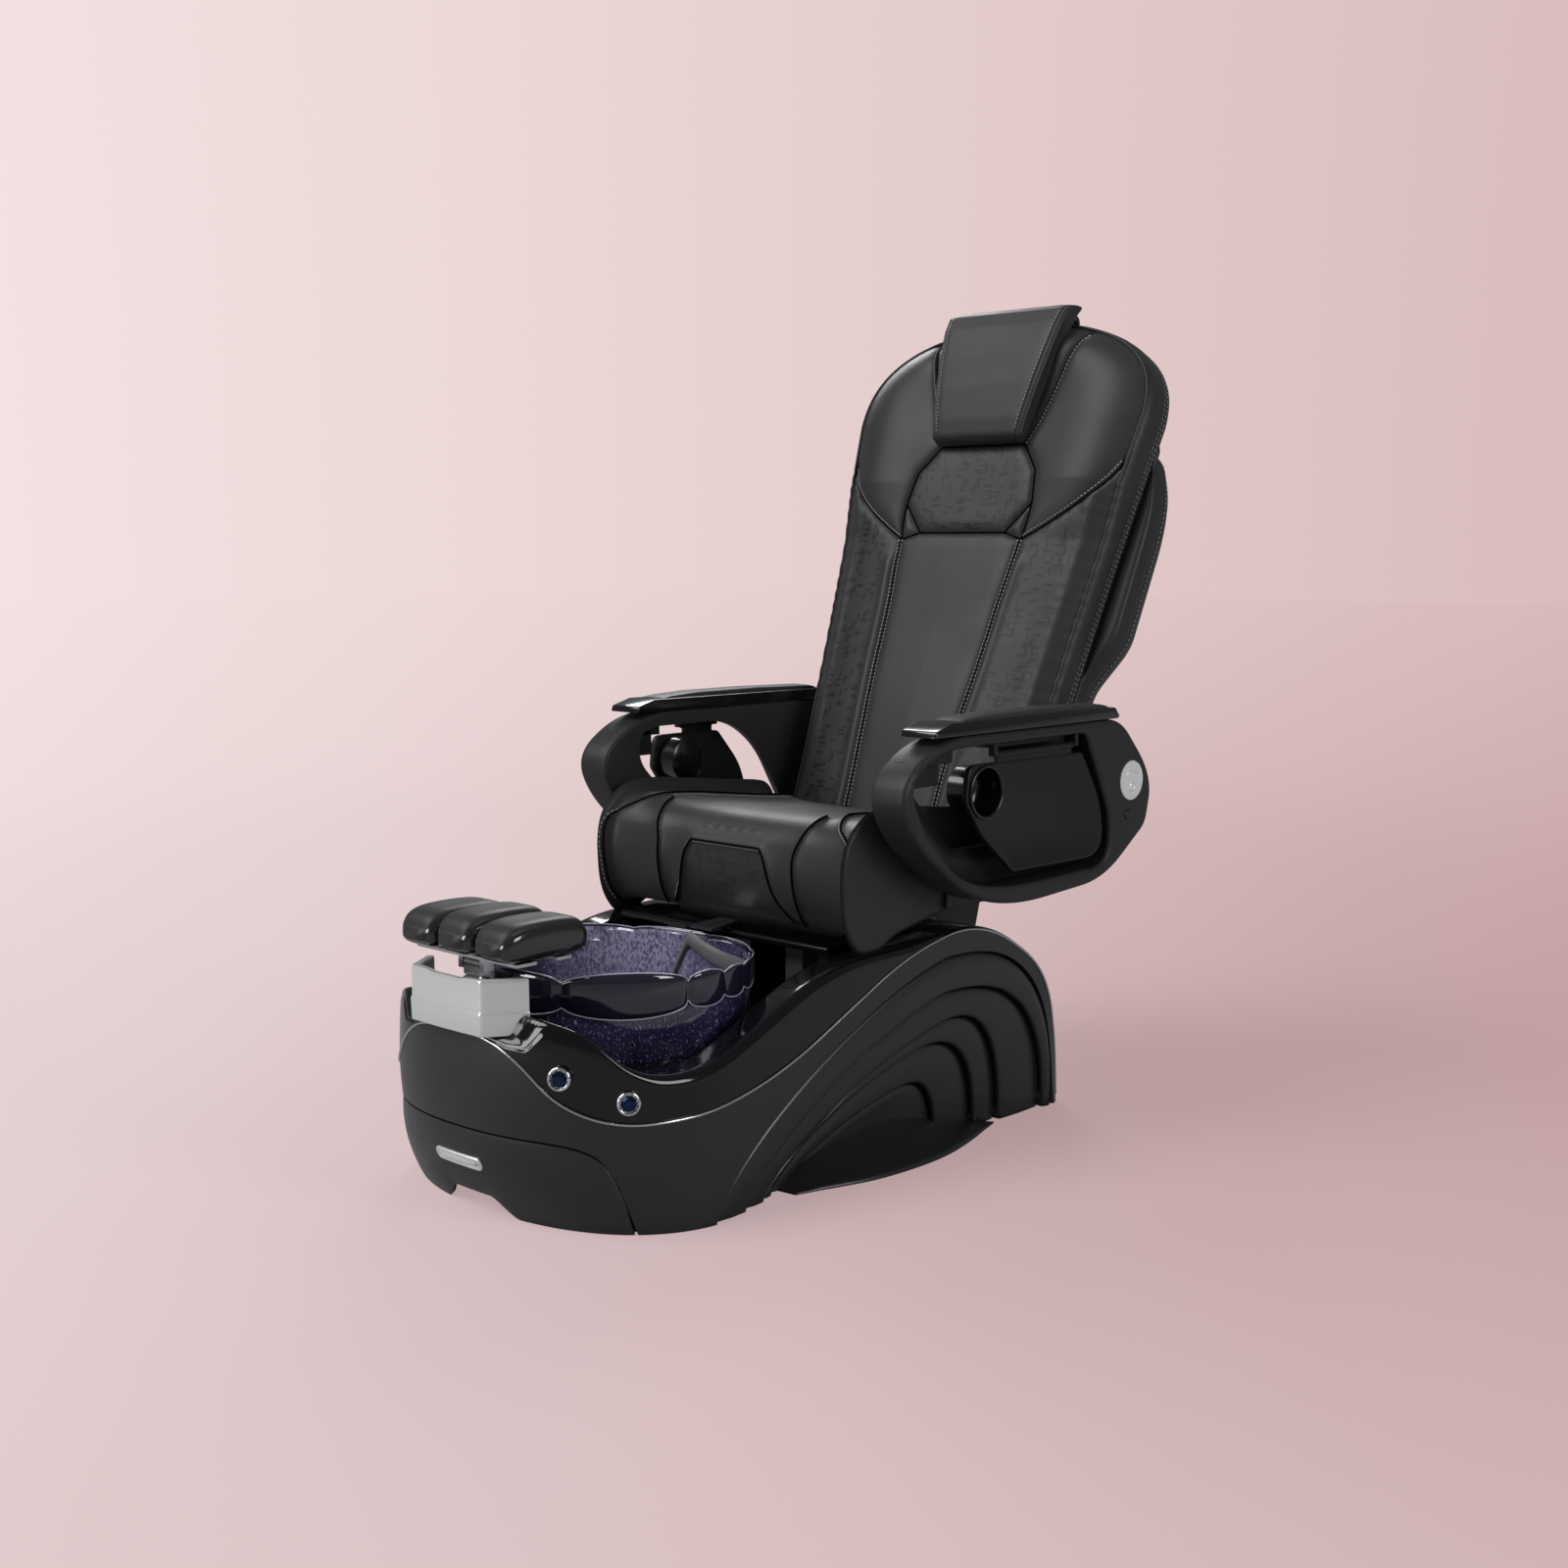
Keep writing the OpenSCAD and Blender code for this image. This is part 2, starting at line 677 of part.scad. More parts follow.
pad_pitch = foot_pad_w + 1.5;
module footrest_pad_left() { foot_pad(pad_pitch, 60); }
module footrest_pad_middle() { foot_pad(0, 64); }
module footrest_pad_right() { foot_pad(-pad_pitch, 60); }

// ---------------------------------------------------------------- seat

module slide_carriage() {
    color([0.45, 0.46, 0.47]) {
        for (x = [-rail_x, rail_x]) for (s = [-1, 1])
            translate([x + s * 9.7 - 4, -30, rail_z + 5]) cube([8, 250, 10.5]);
        translate([-190, -30, rail_z + 14.6]) cube([380, 250, 4.2]);
    }
}

module seat_pan() {
    color([0.10, 0.10, 0.10])
    yz(-seat_half_w + 16, 2 * seat_half_w - 32) polygon([[-62, pan_z], [-62, pan_z + 3], [74, pan_z + 26],
        [262, pan_z + 26], [262, pan_z]]);
}

// Seat cushion: rings of its side outline, drawn in and crowned towards the middle
seat_rear = 250;
seat_side = [[-150, 396], [-172, 428], [-184, 468], [-186, 512], [-176, 552], [-150, 580],
    [-112, 592], [-50, 590], [40, 580], [130, 570], [210, 562], [seat_rear - 12, 552], [seat_rear, 520],
    [seat_rear, 470], [seat_rear - 10, pan_z + 27], [76, pan_z + 27], [0, 434], [-80, 420],
    [-128, 398]];
seat_mid = [60, 500];
seat_seams = [136, 232];
function seat_ring(x) = let (
        u = x / seat_half_w,
        tuck = 1 - 0.10 * pow(abs(u), 10),
        crown = 10 * (1 - pow(abs(u), 2.5)),
        seam = -7 * max([for (s = seat_seams) bump(abs(x), s, 7)]))
    [for (p = seat_side) let (top = p.y > 500 || p.x < -140 ? 1 : 0)
        [x, seat_mid.x + (p.x - seat_mid.x) * tuck - (p.x < -140 ? (crown + seam) * 0.6 : 0),
            min(p.y < pan_z + 28 ? p.y : 1000,
                seat_mid.y + (p.y - seat_mid.y) * tuck + (p.y > 540 ? crown + seam : 0))
                + (seat_top_z - 588) * (p.y > 540 ? 1 : 0)]];
seat_xs = [-1, -0.985, -0.93, -0.82, -0.785, -0.7632, -0.74, -0.62, -0.48, -0.4474, -0.415, -0.25, 0];

module seat_cushion() {
    color([0.25, 0.25, 0.25])
    loft([for (u = concat(seat_xs, [for (i = [len(seat_xs) - 2:-1:0]) -seat_xs[i]]))
        seat_ring(-u * seat_half_w)]);
}

module recline_motor() {
    color([0.20, 0.20, 0.21]) {
        translate([-70, 276, 428]) cube([140, 36, 40]);
        translate([0, 294, 440]) rod_x(-120, 52, 16);
        translate([-60, 262.5, 430]) cube([120, 16, 12]);
    }
}

// Plates at the sides of the seat that carry the backrest hinge and the arm pivots
module side_bracket() {
    x0 = seat_half_w + 2;
    color([0.08, 0.08, 0.08])
    difference() {
        union() {
            yz(x0, 8) polygon([[60, 420], [300, 420], [372, 440], [530, 580], [530, 640], [500, 655],
                [466, 640], [430, 590], [300, 505], [60, 446]]);
            translate([seat_half_w - 15.8, 90, pan_z + 2]) cube([20, 150, 20]);
            translate([0, pivot_y, pivot_z]) rod_x(x0 + 7, arm_x + 34 - x0 - 7, pivot_r);
            translate([0, pivot_y, pivot_z]) rod_x(x0, arm_x - x0 - 1, 24);
        }
        translate([0, hinge_y, hinge_z]) rod_x(x0 - 20, 60, hinge_r + run_fit);
    }
}

module side_bracket_left() { side_bracket(); }
module side_bracket_right() { mirror([1, 0, 0]) side_bracket(); }

// ---------------------------------------------------------------- backrest

// Local frame of the backrest: X across, Z up the slope, Y from the front face to the rear.
module on_back() {
    translate([0, back_y, back_z]) rotate([-back_lean, 0, 0]) children();
}

// Half the width of the backrest at a height v up the slope
wing_v = 850;
function back_half(v) = v < wing_v
    ? mix(back_half_w, wing_half_w, pow(max(0, v) / wing_v, 1.35))
    : wing_half_w * pow(max(0, 1 - pow((v - wing_v) / (back_len - wing_v), 2.5)), 1 / 2.3);

// Half the width between the two long seams
function seam_half(v) = v < 585 ? 108 + 42 * v / 585
    : v < 700 ? mix(150, 158, (v - 585) / 115)
    : v < 800 ? mix(158, 117, (v - 700) / 100)
    : mix(117, 150, (v - 800) / 266);

function back_front(u, v, half) = let (
        edge = pow(abs(u), 5),
        seam = bump(abs(u) * half, seam_half(v), 9),
        wing = v > 590 ? 18 * bump(abs(u), 0.8, 0.3) * min(1, (v - 590) / 120) : 0)
    -18 * (1 - edge) + 10 * seam + 14 * edge - wing
        - 10 * bump(v, 200, 160) * (1 - abs(u));

function back_ring(v, pull) = let (
        half = max(back_half(v), 12),
        k = min(0.75, seam_half(v) / half),
        us = [-1, -0.95, -0.82, -(k + 1) / 2, -k - 0.045, -k, -k + 0.045, -k / 2, 0,
            k / 2, k - 0.045, k, k + 0.045, (k + 1) / 2, 0.82, 0.95, 1],
        z = v)
    concat([for (u = us) [u * half * pull, mix(back_t / 2, back_front(u, v, half), pull), z]],
        [[half * pull * 0.98, back_t * 0.75, z], [half * pull * 0.94, back_t, z],
            [0, back_t, z], [-half * pull * 0.94, back_t, z], [-half * pull * 0.98, back_t * 0.75, z]]);

module back_cushion() {
    color([0.25, 0.25, 0.25])
    on_back() loft(concat([back_ring(-12, 0.93), back_ring(-4, 0.985)],
        [for (v = [20, 90, 180, 280, 380, 480, 560, 590, 630, 700, 760, 800, 860, 910, 950, 985, 1012,
            1034, 1050]) back_ring(v, 1)], [back_ring(1060, 0.96), back_ring(back_len - 1, 0.8)]));
}

// Rear shell: a padded cover, open towards the cushion, that holds frame and massage unit
shell_top = 815;
shell_d = 96;
shell_y = back_t + 1;
shell_foot = 38;   // it is open below this, for the hinge lugs
function shell_half(v) = v < 330 ? 299
    : v < 430 ? mix(299, 356, (v - 330) / 100)
    : v < 640 ? mix(356, 368, (v - 430) / 210)
    : 368 - 40 * pow((v - 640) / (shell_top - 640), 3);

shell_vs = [8, 120, 230, 330, 380, 430, 520, 640, 700, 750, 790, shell_top];
function shell_ring(inset, w) = let (
        mid_v = (8 + shell_top) / 2,
        side = [for (v = shell_vs) [shell_half(v) - inset, w, mix(v, mid_v, inset / 300)]])
    concat([[0, w, side[0].z]], [for (p = side) [-p.x, w, p.z]],
        [for (i = [len(side) - 1:-1:0]) side[i]]);

module back_shell() {
    color([0.12, 0.12, 0.125])
    on_back() difference() {
        loft([shell_ring(0, shell_y), shell_ring(0, shell_y + 40), shell_ring(12, shell_y + 72),
            shell_ring(44, shell_y + shell_d)]);
        loft([shell_ring(14, shell_y - 4), shell_ring(14, shell_y + 36), shell_ring(26, shell_y + 64),
            shell_ring(58, shell_y + shell_d - 8)]);
        translate([-340, shell_y - 5, -10]) cube([680, shell_d + 10, shell_foot + 10]);
    }
}

// Steel frame of the backrest with the hinge lugs and the hinge shaft
frame_y = shell_y + 20;
bar_v0 = 20;      // cross bars of the frame, up the slope
bar_v1 = 740;
bar_h = 24;
rail_u = 120;     // massage rails, either side of the middle
rail_len = bar_v1 - bar_v0 - bar_h - 0.4;

module back_frame() {
    color([0.32, 0.33, 0.34]) {
        on_back() {
            for (s = [-1, 1]) translate([s * 232 - 12, frame_y, 16]) cube([24, 22, 740]);
            for (v = [bar_v0, bar_v1]) translate([-244, frame_y, v]) cube([488, 22, bar_h]);
        }
        for (s = [-1, 1]) translate([s * 266, 0, 0]) yz(-8, 16)
            polygon([[318, 446], [350, 444], [408, 488], [412, 512], [386, 512], [355, 477],
                [320, 479]]);
        on_back() for (s = [-1, 1]) translate([s > 0 ? 232 : -266, frame_y, bar_v0]) cube([34, 22, bar_h]);
        translate([0, hinge_y, hinge_z]) rod_x(-seat_half_w - 9, 2 * seat_half_w + 18, hinge_r);
        translate([0, hinge_y, hinge_z]) rod_x(-275, 550, 13);
    }
}

roller_x = 62;

module massage_rails() {
    color([0.55, 0.56, 0.57])
    on_back() for (s = [-1, 1]) translate([s * rail_u, frame_y + 12, bar_v0 + bar_h + 0.2]) {
        cylinder(h = rail_len, r = 6, $fn = 32);
        for (z = [0, rail_len - 8]) translate([-12, -10, z]) cube([24, 20, 8]);
    }
}

roller_w = shell_y + 10;
carriage_v = 180;

module massage_carriage() {
    color([0.14, 0.14, 0.15])
    on_back() difference() {
        union() {
            for (s = [-1, 1]) translate([s * rail_u - 12, frame_y, carriage_v]) cube([24, 24, 60]);
            translate([-110, frame_y + 6, carriage_v + 5]) cube([220, 34, 50]);
            for (s = [-1, 1], z = [4, 56]) translate([s * roller_x, roller_w, carriage_v + z]) {
                rod_x(-14, 28, 4);
                for (t = [-14, 10]) translate([t, 0, -4]) cube([4, 20, 8]);
            }
        }
        for (s = [-1, 1]) translate([s * rail_u, frame_y + 12, carriage_v - 1])
            cylinder(h = 70, r = 6 + run_fit, $fn = 32);
    }
}

module massage_rollers() {
    color([0.80, 0.78, 0.70])
    on_back() for (s = [-1, 1], z = [4, 56]) translate([s * roller_x, roller_w, carriage_v + z])
        difference() {
            rod_x(-9.5, 19, 9);
            rod_x(-10, 20, 4 + run_fit);
        }
}

// Head pillow: a wedge that hangs over the top of the backrest
pillow_rings = [[790, 116, 26, 0], [797, 119, 33, 0], [830, 122, 38, 0], [900, 130, 42, 0],
    [970, 139, 46, 0], [1030, 146, 48, 0], [1062, 149, 44, 4], [1084, 150, 30, 14]];

function pillow_ring(r) = [for (u = [-1, -0.96, -0.7, -0.35, 0, 0.35, 0.7, 0.96, 1])
        [u * r[1], -34 - r[2] + r[3] + 8 * pow(abs(u), 6), r[0]]];
function pillow_back(r) = [for (u = [1, 0.5, 0, -0.5, -1]) [u * (r[1] - 3), -37 + r[3], r[0]]];

module head_pillow() {
    color([0.27, 0.27, 0.27])
    on_back() {
        loft([for (r = pillow_rings) concat(pillow_ring(r), pillow_back(r))]);
        translate([-120, -26, back_len + 6]) cube([240, 70, 12]);
    }
}

// ---------------------------------------------------------------- arms

module on_side(s) {
    if (s > 0) children();
    else mirror([1, 0, 0]) children();
}

module arm(s) {
    rod_end = barrel_y + barrel_len(s);
    color([0.20, 0.20, 0.205])
    on_side(s) {
        for (y = [barrel_y - 11, rod_end + 1])
            translate([tray_hinge[0] - 7, y, 694]) cube([14, 10, 23]);
        for (y = [barrel_y - 6, rod_end - 20]) translate([tray_hinge[0], 0, tray_hinge[1]])
            rod_y(y, 26, 3);
        difference() {
            yz(arm_x, arm_t) polygon(rounded(arm_corners));
            yz(arm_x + 16, arm_t) polygon(rounded(pocket_corners));
            yz(arm_x - 1, 20) polygon(rounded(window_corners));
            translate([0, pivot_y, pivot_z]) rod_x(arm_x - 1, 37, pivot_r + run_fit);
            translate([0, pivot_y, pivot_z]) rod_x(arm_x + arm_t - 8, 10, 38);
            translate([0, button_y, button_z]) rod_x(arm_x + arm_t - 22, 30, 8 + run_fit);
        }
    }
}

module arm_left() { arm(1); }
module arm_right() { arm(-1); }

cap_pts = [[-88, 736.5], [470, 736.5], [474, 742], [462, 758], [-40, 760], [-84, 748]];

// Gloss slab on top of the arm
module arm_cap(s) {
    color([0.04, 0.04, 0.045])
    on_side(s) yz(arm_x - 3, arm_t + 4) polygon(cap_pts);
}

module arm_cap_left() { arm_cap(1); }
module arm_cap_right() { arm_cap(-1); }

// Thin soft pad let on to the cap
module arm_pad(s) {
    color([0.30, 0.30, 0.30])
    on_side(s) yz(arm_x + 6, arm_t - 14)
        polygon([[-10, 760.3], [430, 758.8], [415, 764], [250, 769], [90, 769], [10, 764]]);
}

module arm_pad_left() { arm_pad(1); }
module arm_pad_right() { arm_pad(-1); }

// Bright disc that covers the arm's pivot
module arm_disc(s) {
    color([0.85, 0.85, 0.85])
    on_side(s) translate([0, pivot_y, pivot_z]) {
        rod_x(arm_x + arm_t - 7.8, 10, 37.5);
        translate([0, 0, 12]) rod_x(arm_x + arm_t + 1, 4, 7);
        translate([0, 0, -12]) rod_x(arm_x + arm_t + 1, 3, 9);
    }
}

module arm_disc_left() { arm_disc(1); }
module arm_disc_right() { arm_disc(-1); }

button_y = 487;
button_z = 553;

module release_button(s) {
    color([0.10, 0.10, 0.10])
    on_side(s) translate([0, button_y, button_z]) rod_x(arm_x + arm_t - 16, 19, 8);
}

module release_button_left() { release_button(1); }
module release_button_right() { release_button(-1); }

// Flip-up tray with its hinge barrel along the top edge
module tray(s) {
    color([0.09, 0.09, 0.095])
    on_side(s) difference() {
        union() {
            yz(tray_x, tray_t) polygon(rounded(tray_corners(s)));
            translate([tray_hinge[0], 0, tray_hinge[1]]) rod_y(barrel_y, barrel_len(s), 6);
            translate([tray_x + 2, barrel_y, 680]) cube([8, barrel_len(s), 15]);
        }
        translate([0, cup_c.x, cup_c.y]) rod_x(tray_x - 1, tray_t + 2, cup_r + 3);
        translate([tray_hinge[0], 0, tray_hinge[1]])
            rod_y(barrel_y - 1, barrel_len(s) + 2, 3 + run_fit);
    }
}

module tray_left() { tray(1); }
module tray_right() { tray(-1); }

// Cup holder sunk into the tray, open outwards when the tray hangs
module tray_cup(s) {
    color([0.03, 0.03, 0.03])
    on_side(s) translate([0, cup_c.x, cup_c.y]) difference() {
        union() {
            rod_x(tray_x + tray_t - cup_depth, cup_depth, cup_r + 2.9);
            rod_x(tray_x + tray_t, 3, cup_r + 7);
        }
        rod_x(tray_x + tray_t - cup_depth + 3, cup_depth + 4, cup_r);
    }
}

module tray_cup_left() { tray_cup(1); }
module tray_cup_right() { tray_cup(-1); }

// ---------------------------------------------------------------- the chair

module placed() {
    translate([0, y_shift, 0]) children();
}

placed() lower_shell();
placed() front_panel();
placed() badge_plate();
placed() surround();
placed() rear_cover();
placed() side_panel_left();
placed() side_panel_right();
placed() trim_strips();
placed() nose_cap();
placed() glass_bowl();
placed() bowl_support();
placed() footrest_socket();
placed() jet_housing();
placed() jet_motor();
placed() jet_impeller();
placed() drain_flange();
placed() drain_pipe();
placed() spout();
placed() water_inlets();
placed() power_inlet();
placed() base_frame();
placed() deck_posts();
placed() levelling_feet();
placed() pedestal();
placed() slide_rails();
placed() jet_knob();
placed() water_knob();
placed() footrest_post();
placed() footrest_bracket();
placed() footrest_pad_left();
placed() footrest_pad_middle();
placed() footrest_pad_right();
placed() slide_carriage();
placed() seat_pan();
placed() seat_cushion();
placed() recline_motor();
placed() side_bracket_left();
placed() side_bracket_right();
placed() back_frame();
placed() back_cushion();
placed() back_shell();
placed() massage_rails();
placed() massage_carriage();
placed() massage_rollers();
placed() head_pillow();
placed() arm_left();
placed() arm_right();
placed() arm_cap_left();
placed() arm_cap_right();
placed() arm_pad_left();
placed() arm_pad_right();
placed() arm_disc_left();
placed() arm_disc_right();
placed() release_button_left();
placed() release_button_right();
placed() tray_left();
placed() tray_right();
placed() tray_cup_left();
placed() tray_cup_right();
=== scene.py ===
"""Looks of a pedicure spa chair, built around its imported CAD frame.

Lengths are millimetres in the chair's own coordinates: +X is the sitter's left, -Y the footrest end, +Z up,
and the floor is at z = 0. make() turns them into metres and moves them to the frame's origin.
"""

import math

import bmesh
import bpy
import numpy as np
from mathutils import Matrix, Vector

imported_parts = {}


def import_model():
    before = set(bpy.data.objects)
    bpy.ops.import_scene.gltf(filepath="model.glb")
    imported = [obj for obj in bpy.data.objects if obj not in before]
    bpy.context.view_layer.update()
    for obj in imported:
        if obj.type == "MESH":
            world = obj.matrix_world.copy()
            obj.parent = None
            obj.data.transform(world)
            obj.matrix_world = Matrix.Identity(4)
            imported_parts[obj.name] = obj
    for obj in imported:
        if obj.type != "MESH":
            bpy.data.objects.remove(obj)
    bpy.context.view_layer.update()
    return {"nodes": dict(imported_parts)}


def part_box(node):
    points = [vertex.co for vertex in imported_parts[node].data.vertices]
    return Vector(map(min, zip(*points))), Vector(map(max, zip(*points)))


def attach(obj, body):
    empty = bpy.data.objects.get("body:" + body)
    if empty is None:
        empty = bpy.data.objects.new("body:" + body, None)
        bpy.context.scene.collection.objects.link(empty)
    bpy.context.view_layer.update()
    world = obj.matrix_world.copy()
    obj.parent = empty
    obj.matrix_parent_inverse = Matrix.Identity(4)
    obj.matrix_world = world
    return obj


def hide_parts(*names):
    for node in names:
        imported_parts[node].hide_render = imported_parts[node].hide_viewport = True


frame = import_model()

MM = 0.001
POST_Y = -737.0  # the footrest's post stands here
# from these coordinates to the frame's origin
SHIFT = sum(c.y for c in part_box("footrest_post")) / 2 / MM - POST_Y


# ---------------------------------------------------------------- curves and meshes

def mix(a, b, t):
    """The value a share t of the way from a to b."""
    return a + (b - a) * t


def smooth(t):
    """Rises from 0 to 1 along a soft S as t does."""
    t = np.clip(t, 0, 1)
    return t * t * (3 - 2 * t)


def bump(u, at, width):
    """A bell of height 1 about a place."""
    return np.exp(-((u - at) / width) ** 2)


def rounded(corners, closed=True, steps=12):
    """Points of an outline of [y, z, cut] corners, rounded by quadratic curves that start cut before them."""
    points = []
    count = len(corners)
    for i, (y, z, cut) in enumerate(corners):
        c = np.array([y, z], float)
        if not closed and i in (0, count - 1):
            points.append(c)
            continue
        ends = []
        for k in (i - 1, (i + 1) % count):
            d = np.array(corners[k][:2], float) - c
            ends.append(c + d * min(cut / np.linalg.norm(d), 0.5))
        for t in np.linspace(0, 1, steps):
            points.append((1 - t) ** 2 * ends[0] + 2 * t * (1 - t) * c + t * t * ends[1])
    return np.array(points)


def spline(points, steps=8, closed=False):
    """Catmull-Rom curve through points."""
    p = np.array(points, float)
    if closed:
        p = np.vstack([p[-1], p, p[0], p[1]])
    else:
        p = np.vstack([2 * p[0] - p[1], p, 2 * p[-1] - p[-2]])
    out = []
    for i in range(1, len(p) - 2):
        for t in np.linspace(0, 1, steps, endpoint=False):
            a, b, c, d = p[i - 1:i + 3]
            out.append(0.5 * (2 * b + (c - a) * t + (2 * a - 5 * b + 4 * c - d) * t ** 2
                              + (3 * b - a - 3 * c + d) * t ** 3))
    if not closed:
        out.append(p[-2])
    return np.array(out)


def lengths(points):
    """Distance along a curve at each of its points."""
    return np.concatenate([[0], np.cumsum(np.linalg.norm(np.diff(points, axis=0), axis=1))])


def resample(points, step, closed=False):
    """The curve again, at even steps."""
    p = np.vstack([points, points[:1]]) if closed else np.array(points, float)
    s = lengths(p)
    count = max(3, int(round(s[-1] / step)))
    at = np.linspace(0, s[-1], count + 1)
    if closed:
        at = at[:-1]
    return np.stack([np.interp(at, s, p[:, k]) for k in range(p.shape[1])], axis=1)


def normals_2d(p, closed=True):
    """Unit normals of a curve in a plane, to the left of its direction."""
    if closed:
        t = np.roll(p, -1, axis=0) - np.roll(p, 1, axis=0)
    else:
        t = np.gradient(p, axis=0)
    n = np.stack([-t[:, 1], t[:, 0]], axis=1)
    return n / np.maximum(np.linalg.norm(n, axis=1, keepdims=True), 1e-9)


def seam_distance(points, seams):
    """Distance from each 2-D point to the nearest of the seams, which are polylines."""
    best = np.full(len(points), 1e9)
    for line in seams:
        line = np.array(line, float)
        for a, b in zip(line[:-1], line[1:]):
            d = b - a
            t = np.clip(((points - a) @ d) / max(d @ d, 1e-9), 0, 1)
            best = np.minimum(best, np.linalg.norm(points - a - t[:, None] * d, axis=1))
    return best


def grid_faces(rows, cols, close_rows=False, close_cols=False):
    """Quads between the points of a rows x cols grid."""
    faces = []
    for i in range(rows if close_rows else rows - 1):
        for j in range(cols if close_cols else cols - 1):
            k, m = (i + 1) % rows, (j + 1) % cols
            faces.append((i * cols + j, i * cols + m, k * cols + m, k * cols + j))
    return faces


def on_body(obj, body, material, replaces=()):
    """Gives a piece its finish from look and its body, and hides the CAD nodes it stands for."""
    obj.data.materials.append(look[material])
    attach(obj, body)
    if replaces:
        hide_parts(*replaces)
    return obj


def make(name, points, faces, body, material, replaces=(), sharp=None, core=None, weld_points=True):
    """A mesh piece from points in millimetres. Edges sharper than the angle sharp, in degrees, stay crisp.
    An open surface turns its faces away from the point core."""
    p = (np.array(points, float).reshape(-1, 3) + [0, SHIFT, 0]) * MM
    mesh = bpy.data.meshes.new(name)
    mesh.from_pydata([tuple(q) for q in p], [], faces)
    mesh.validate()
    mesh.update()
    obj = bpy.data.objects.new(name, mesh)
    bpy.context.scene.collection.objects.link(obj)
    if weld_points:
        weld(mesh)
    if core is not None:
        centre = (np.array(core, float) + [0, SHIFT, 0]) * MM
        away = sum(f.normal.dot(f.center - Vector(centre)) * f.area for f in mesh.polygons)
        if away < 0:
            mesh.flip_normals()
    mesh.polygons.foreach_set("use_smooth", [True] * len(mesh.polygons))
    if sharp:
        mesh.set_sharp_from_angle(angle=math.radians(sharp))
    return on_body(obj, body, material, replaces)


WELD_DISTANCE = 0.02 * MM


def weld(mesh):
    """Joins points that lie together, and turns all faces outward."""
    bm = bmesh.new()
    bm.from_mesh(mesh)
    bmesh.ops.remove_doubles(bm, verts=bm.verts, dist=WELD_DISTANCE)
    bmesh.ops.recalc_face_normals(bm, faces=bm.faces)
    bm.to_mesh(mesh)
    bm.free()
    mesh.update()


def surface(name, grids, body, material, replaces=(), close_rows=False, close_cols=False, caps=False,
            sharp=None, core=None, weld_points=True):
    """A piece from one or more grids of points, (rows, columns, 3). caps close their first and last rows."""
    points, faces = [], []
    for grid in grids if isinstance(grids, list) else [grids]:
        rows, cols = grid.shape[:2]
        new = grid_faces(rows, cols, close_rows, close_cols)
        if caps:
            new += [tuple(range(cols)), tuple((rows - 1) * cols + j for j in range(cols))]
        start = len(points)
        points.extend(grid.reshape(-1, 3))
        faces += [tuple(i + start for i in f) for f in new]
    return make(name, points, faces, body, material, replaces, sharp, core, weld_points)


def solid(name, grids, body, material, replaces=(), sharp=None):
    """A closed piece: its grids run round a bar or a block, and faces cap their first and last rows."""
    return surface(name, grids, body, material, replaces, close_cols=True, caps=True, sharp=sharp)


def thicken(obj, thickness, edge=0.0, segments=2, even=True):
    """Gives an open surface its wall, on the inner side, and rounds its rims."""
    m = obj.modifiers.new("wall", "SOLIDIFY")
    m.thickness = thickness * MM
    m.offset = -1
    m.use_even_offset = even
    if edge:
        soften(obj, edge, segments)
    return obj


def soften(obj, width, segments=3, angle=35):
    """Rounds the sharp edges of a piece."""
    m = obj.modifiers.new("edges", "BEVEL")
    m.width = width * MM
    m.segments = segments
    m.limit_method = "ANGLE"
    m.angle_limit = math.radians(angle)
    return obj


def lathe(profile, sides=64):
    """Grid of a profile of (radius, height) turned about an axis: (rows, sides, [across, across, along])."""
    a = np.linspace(0, 2 * math.pi, sides, endpoint=False)
    profile = np.array(profile, float)
    return np.stack([np.outer(profile[:, 0], np.cos(a)), np.outer(profile[:, 0], np.sin(a)),
                     np.repeat(profile[:, 1:2], sides, axis=1)], axis=2)


def tube_grid(path, radius, sides=10, closed=False):
    """Grid of a round bar along a path. Radius is one number, or one for each point."""
    p = np.array(path, float)
    r = np.broadcast_to(np.array(radius, float), len(p))
    t = (np.roll(p, -1, axis=0) - np.roll(p, 1, axis=0)) if closed else np.gradient(p, axis=0)
    t /= np.linalg.norm(t, axis=1, keepdims=True)
    up = np.array([0.0, 0.0, 1.0]) if abs(t[0][2]) < 0.9 else np.array([1.0, 0.0, 0.0])
    side = np.cross(t[0], up)
    rings = []
    for q, d, size in zip(p, t, r):
        side = side - (side @ d) * d
        side /= np.linalg.norm(side)
        other = np.cross(d, side)
        a = np.linspace(0, 2 * math.pi, sides, endpoint=False)
        rings.append(q + size * (np.outer(np.cos(a), side) + np.outer(np.sin(a), other)))
    return np.array(rings)


def both(maker):
    """Runs a maker for the sitter's left, then for the right."""
    for side, word in ((1, "left"), (-1, "right")):
        maker(side, word)


# ---------------------------------------------------------------- materials

def node(mat, kind, inputs=None, **settings):
    """A shader node of a material or of the world. Inputs are values, or (node, output) pairs to link."""
    n = mat.node_tree.nodes.new(kind)
    for key, value in settings.items():
        setattr(n, key, value)
    for key, value in (inputs or {}).items():
        if isinstance(value, tuple) and hasattr(value[0], "outputs"):
            mat.node_tree.links.new(value[0].outputs[value[1]], n.inputs[key])
        else:
            n.inputs[key].default_value = value
    return n


def link(mat, source, output, target, name):
    """Joins a node's output to another's input."""
    mat.node_tree.links.new(source.outputs[output], target.inputs[name])


MIX_A, MIX_B, MIX_OUT = 6, 7, 2  # a colour mix node's own sockets, by number


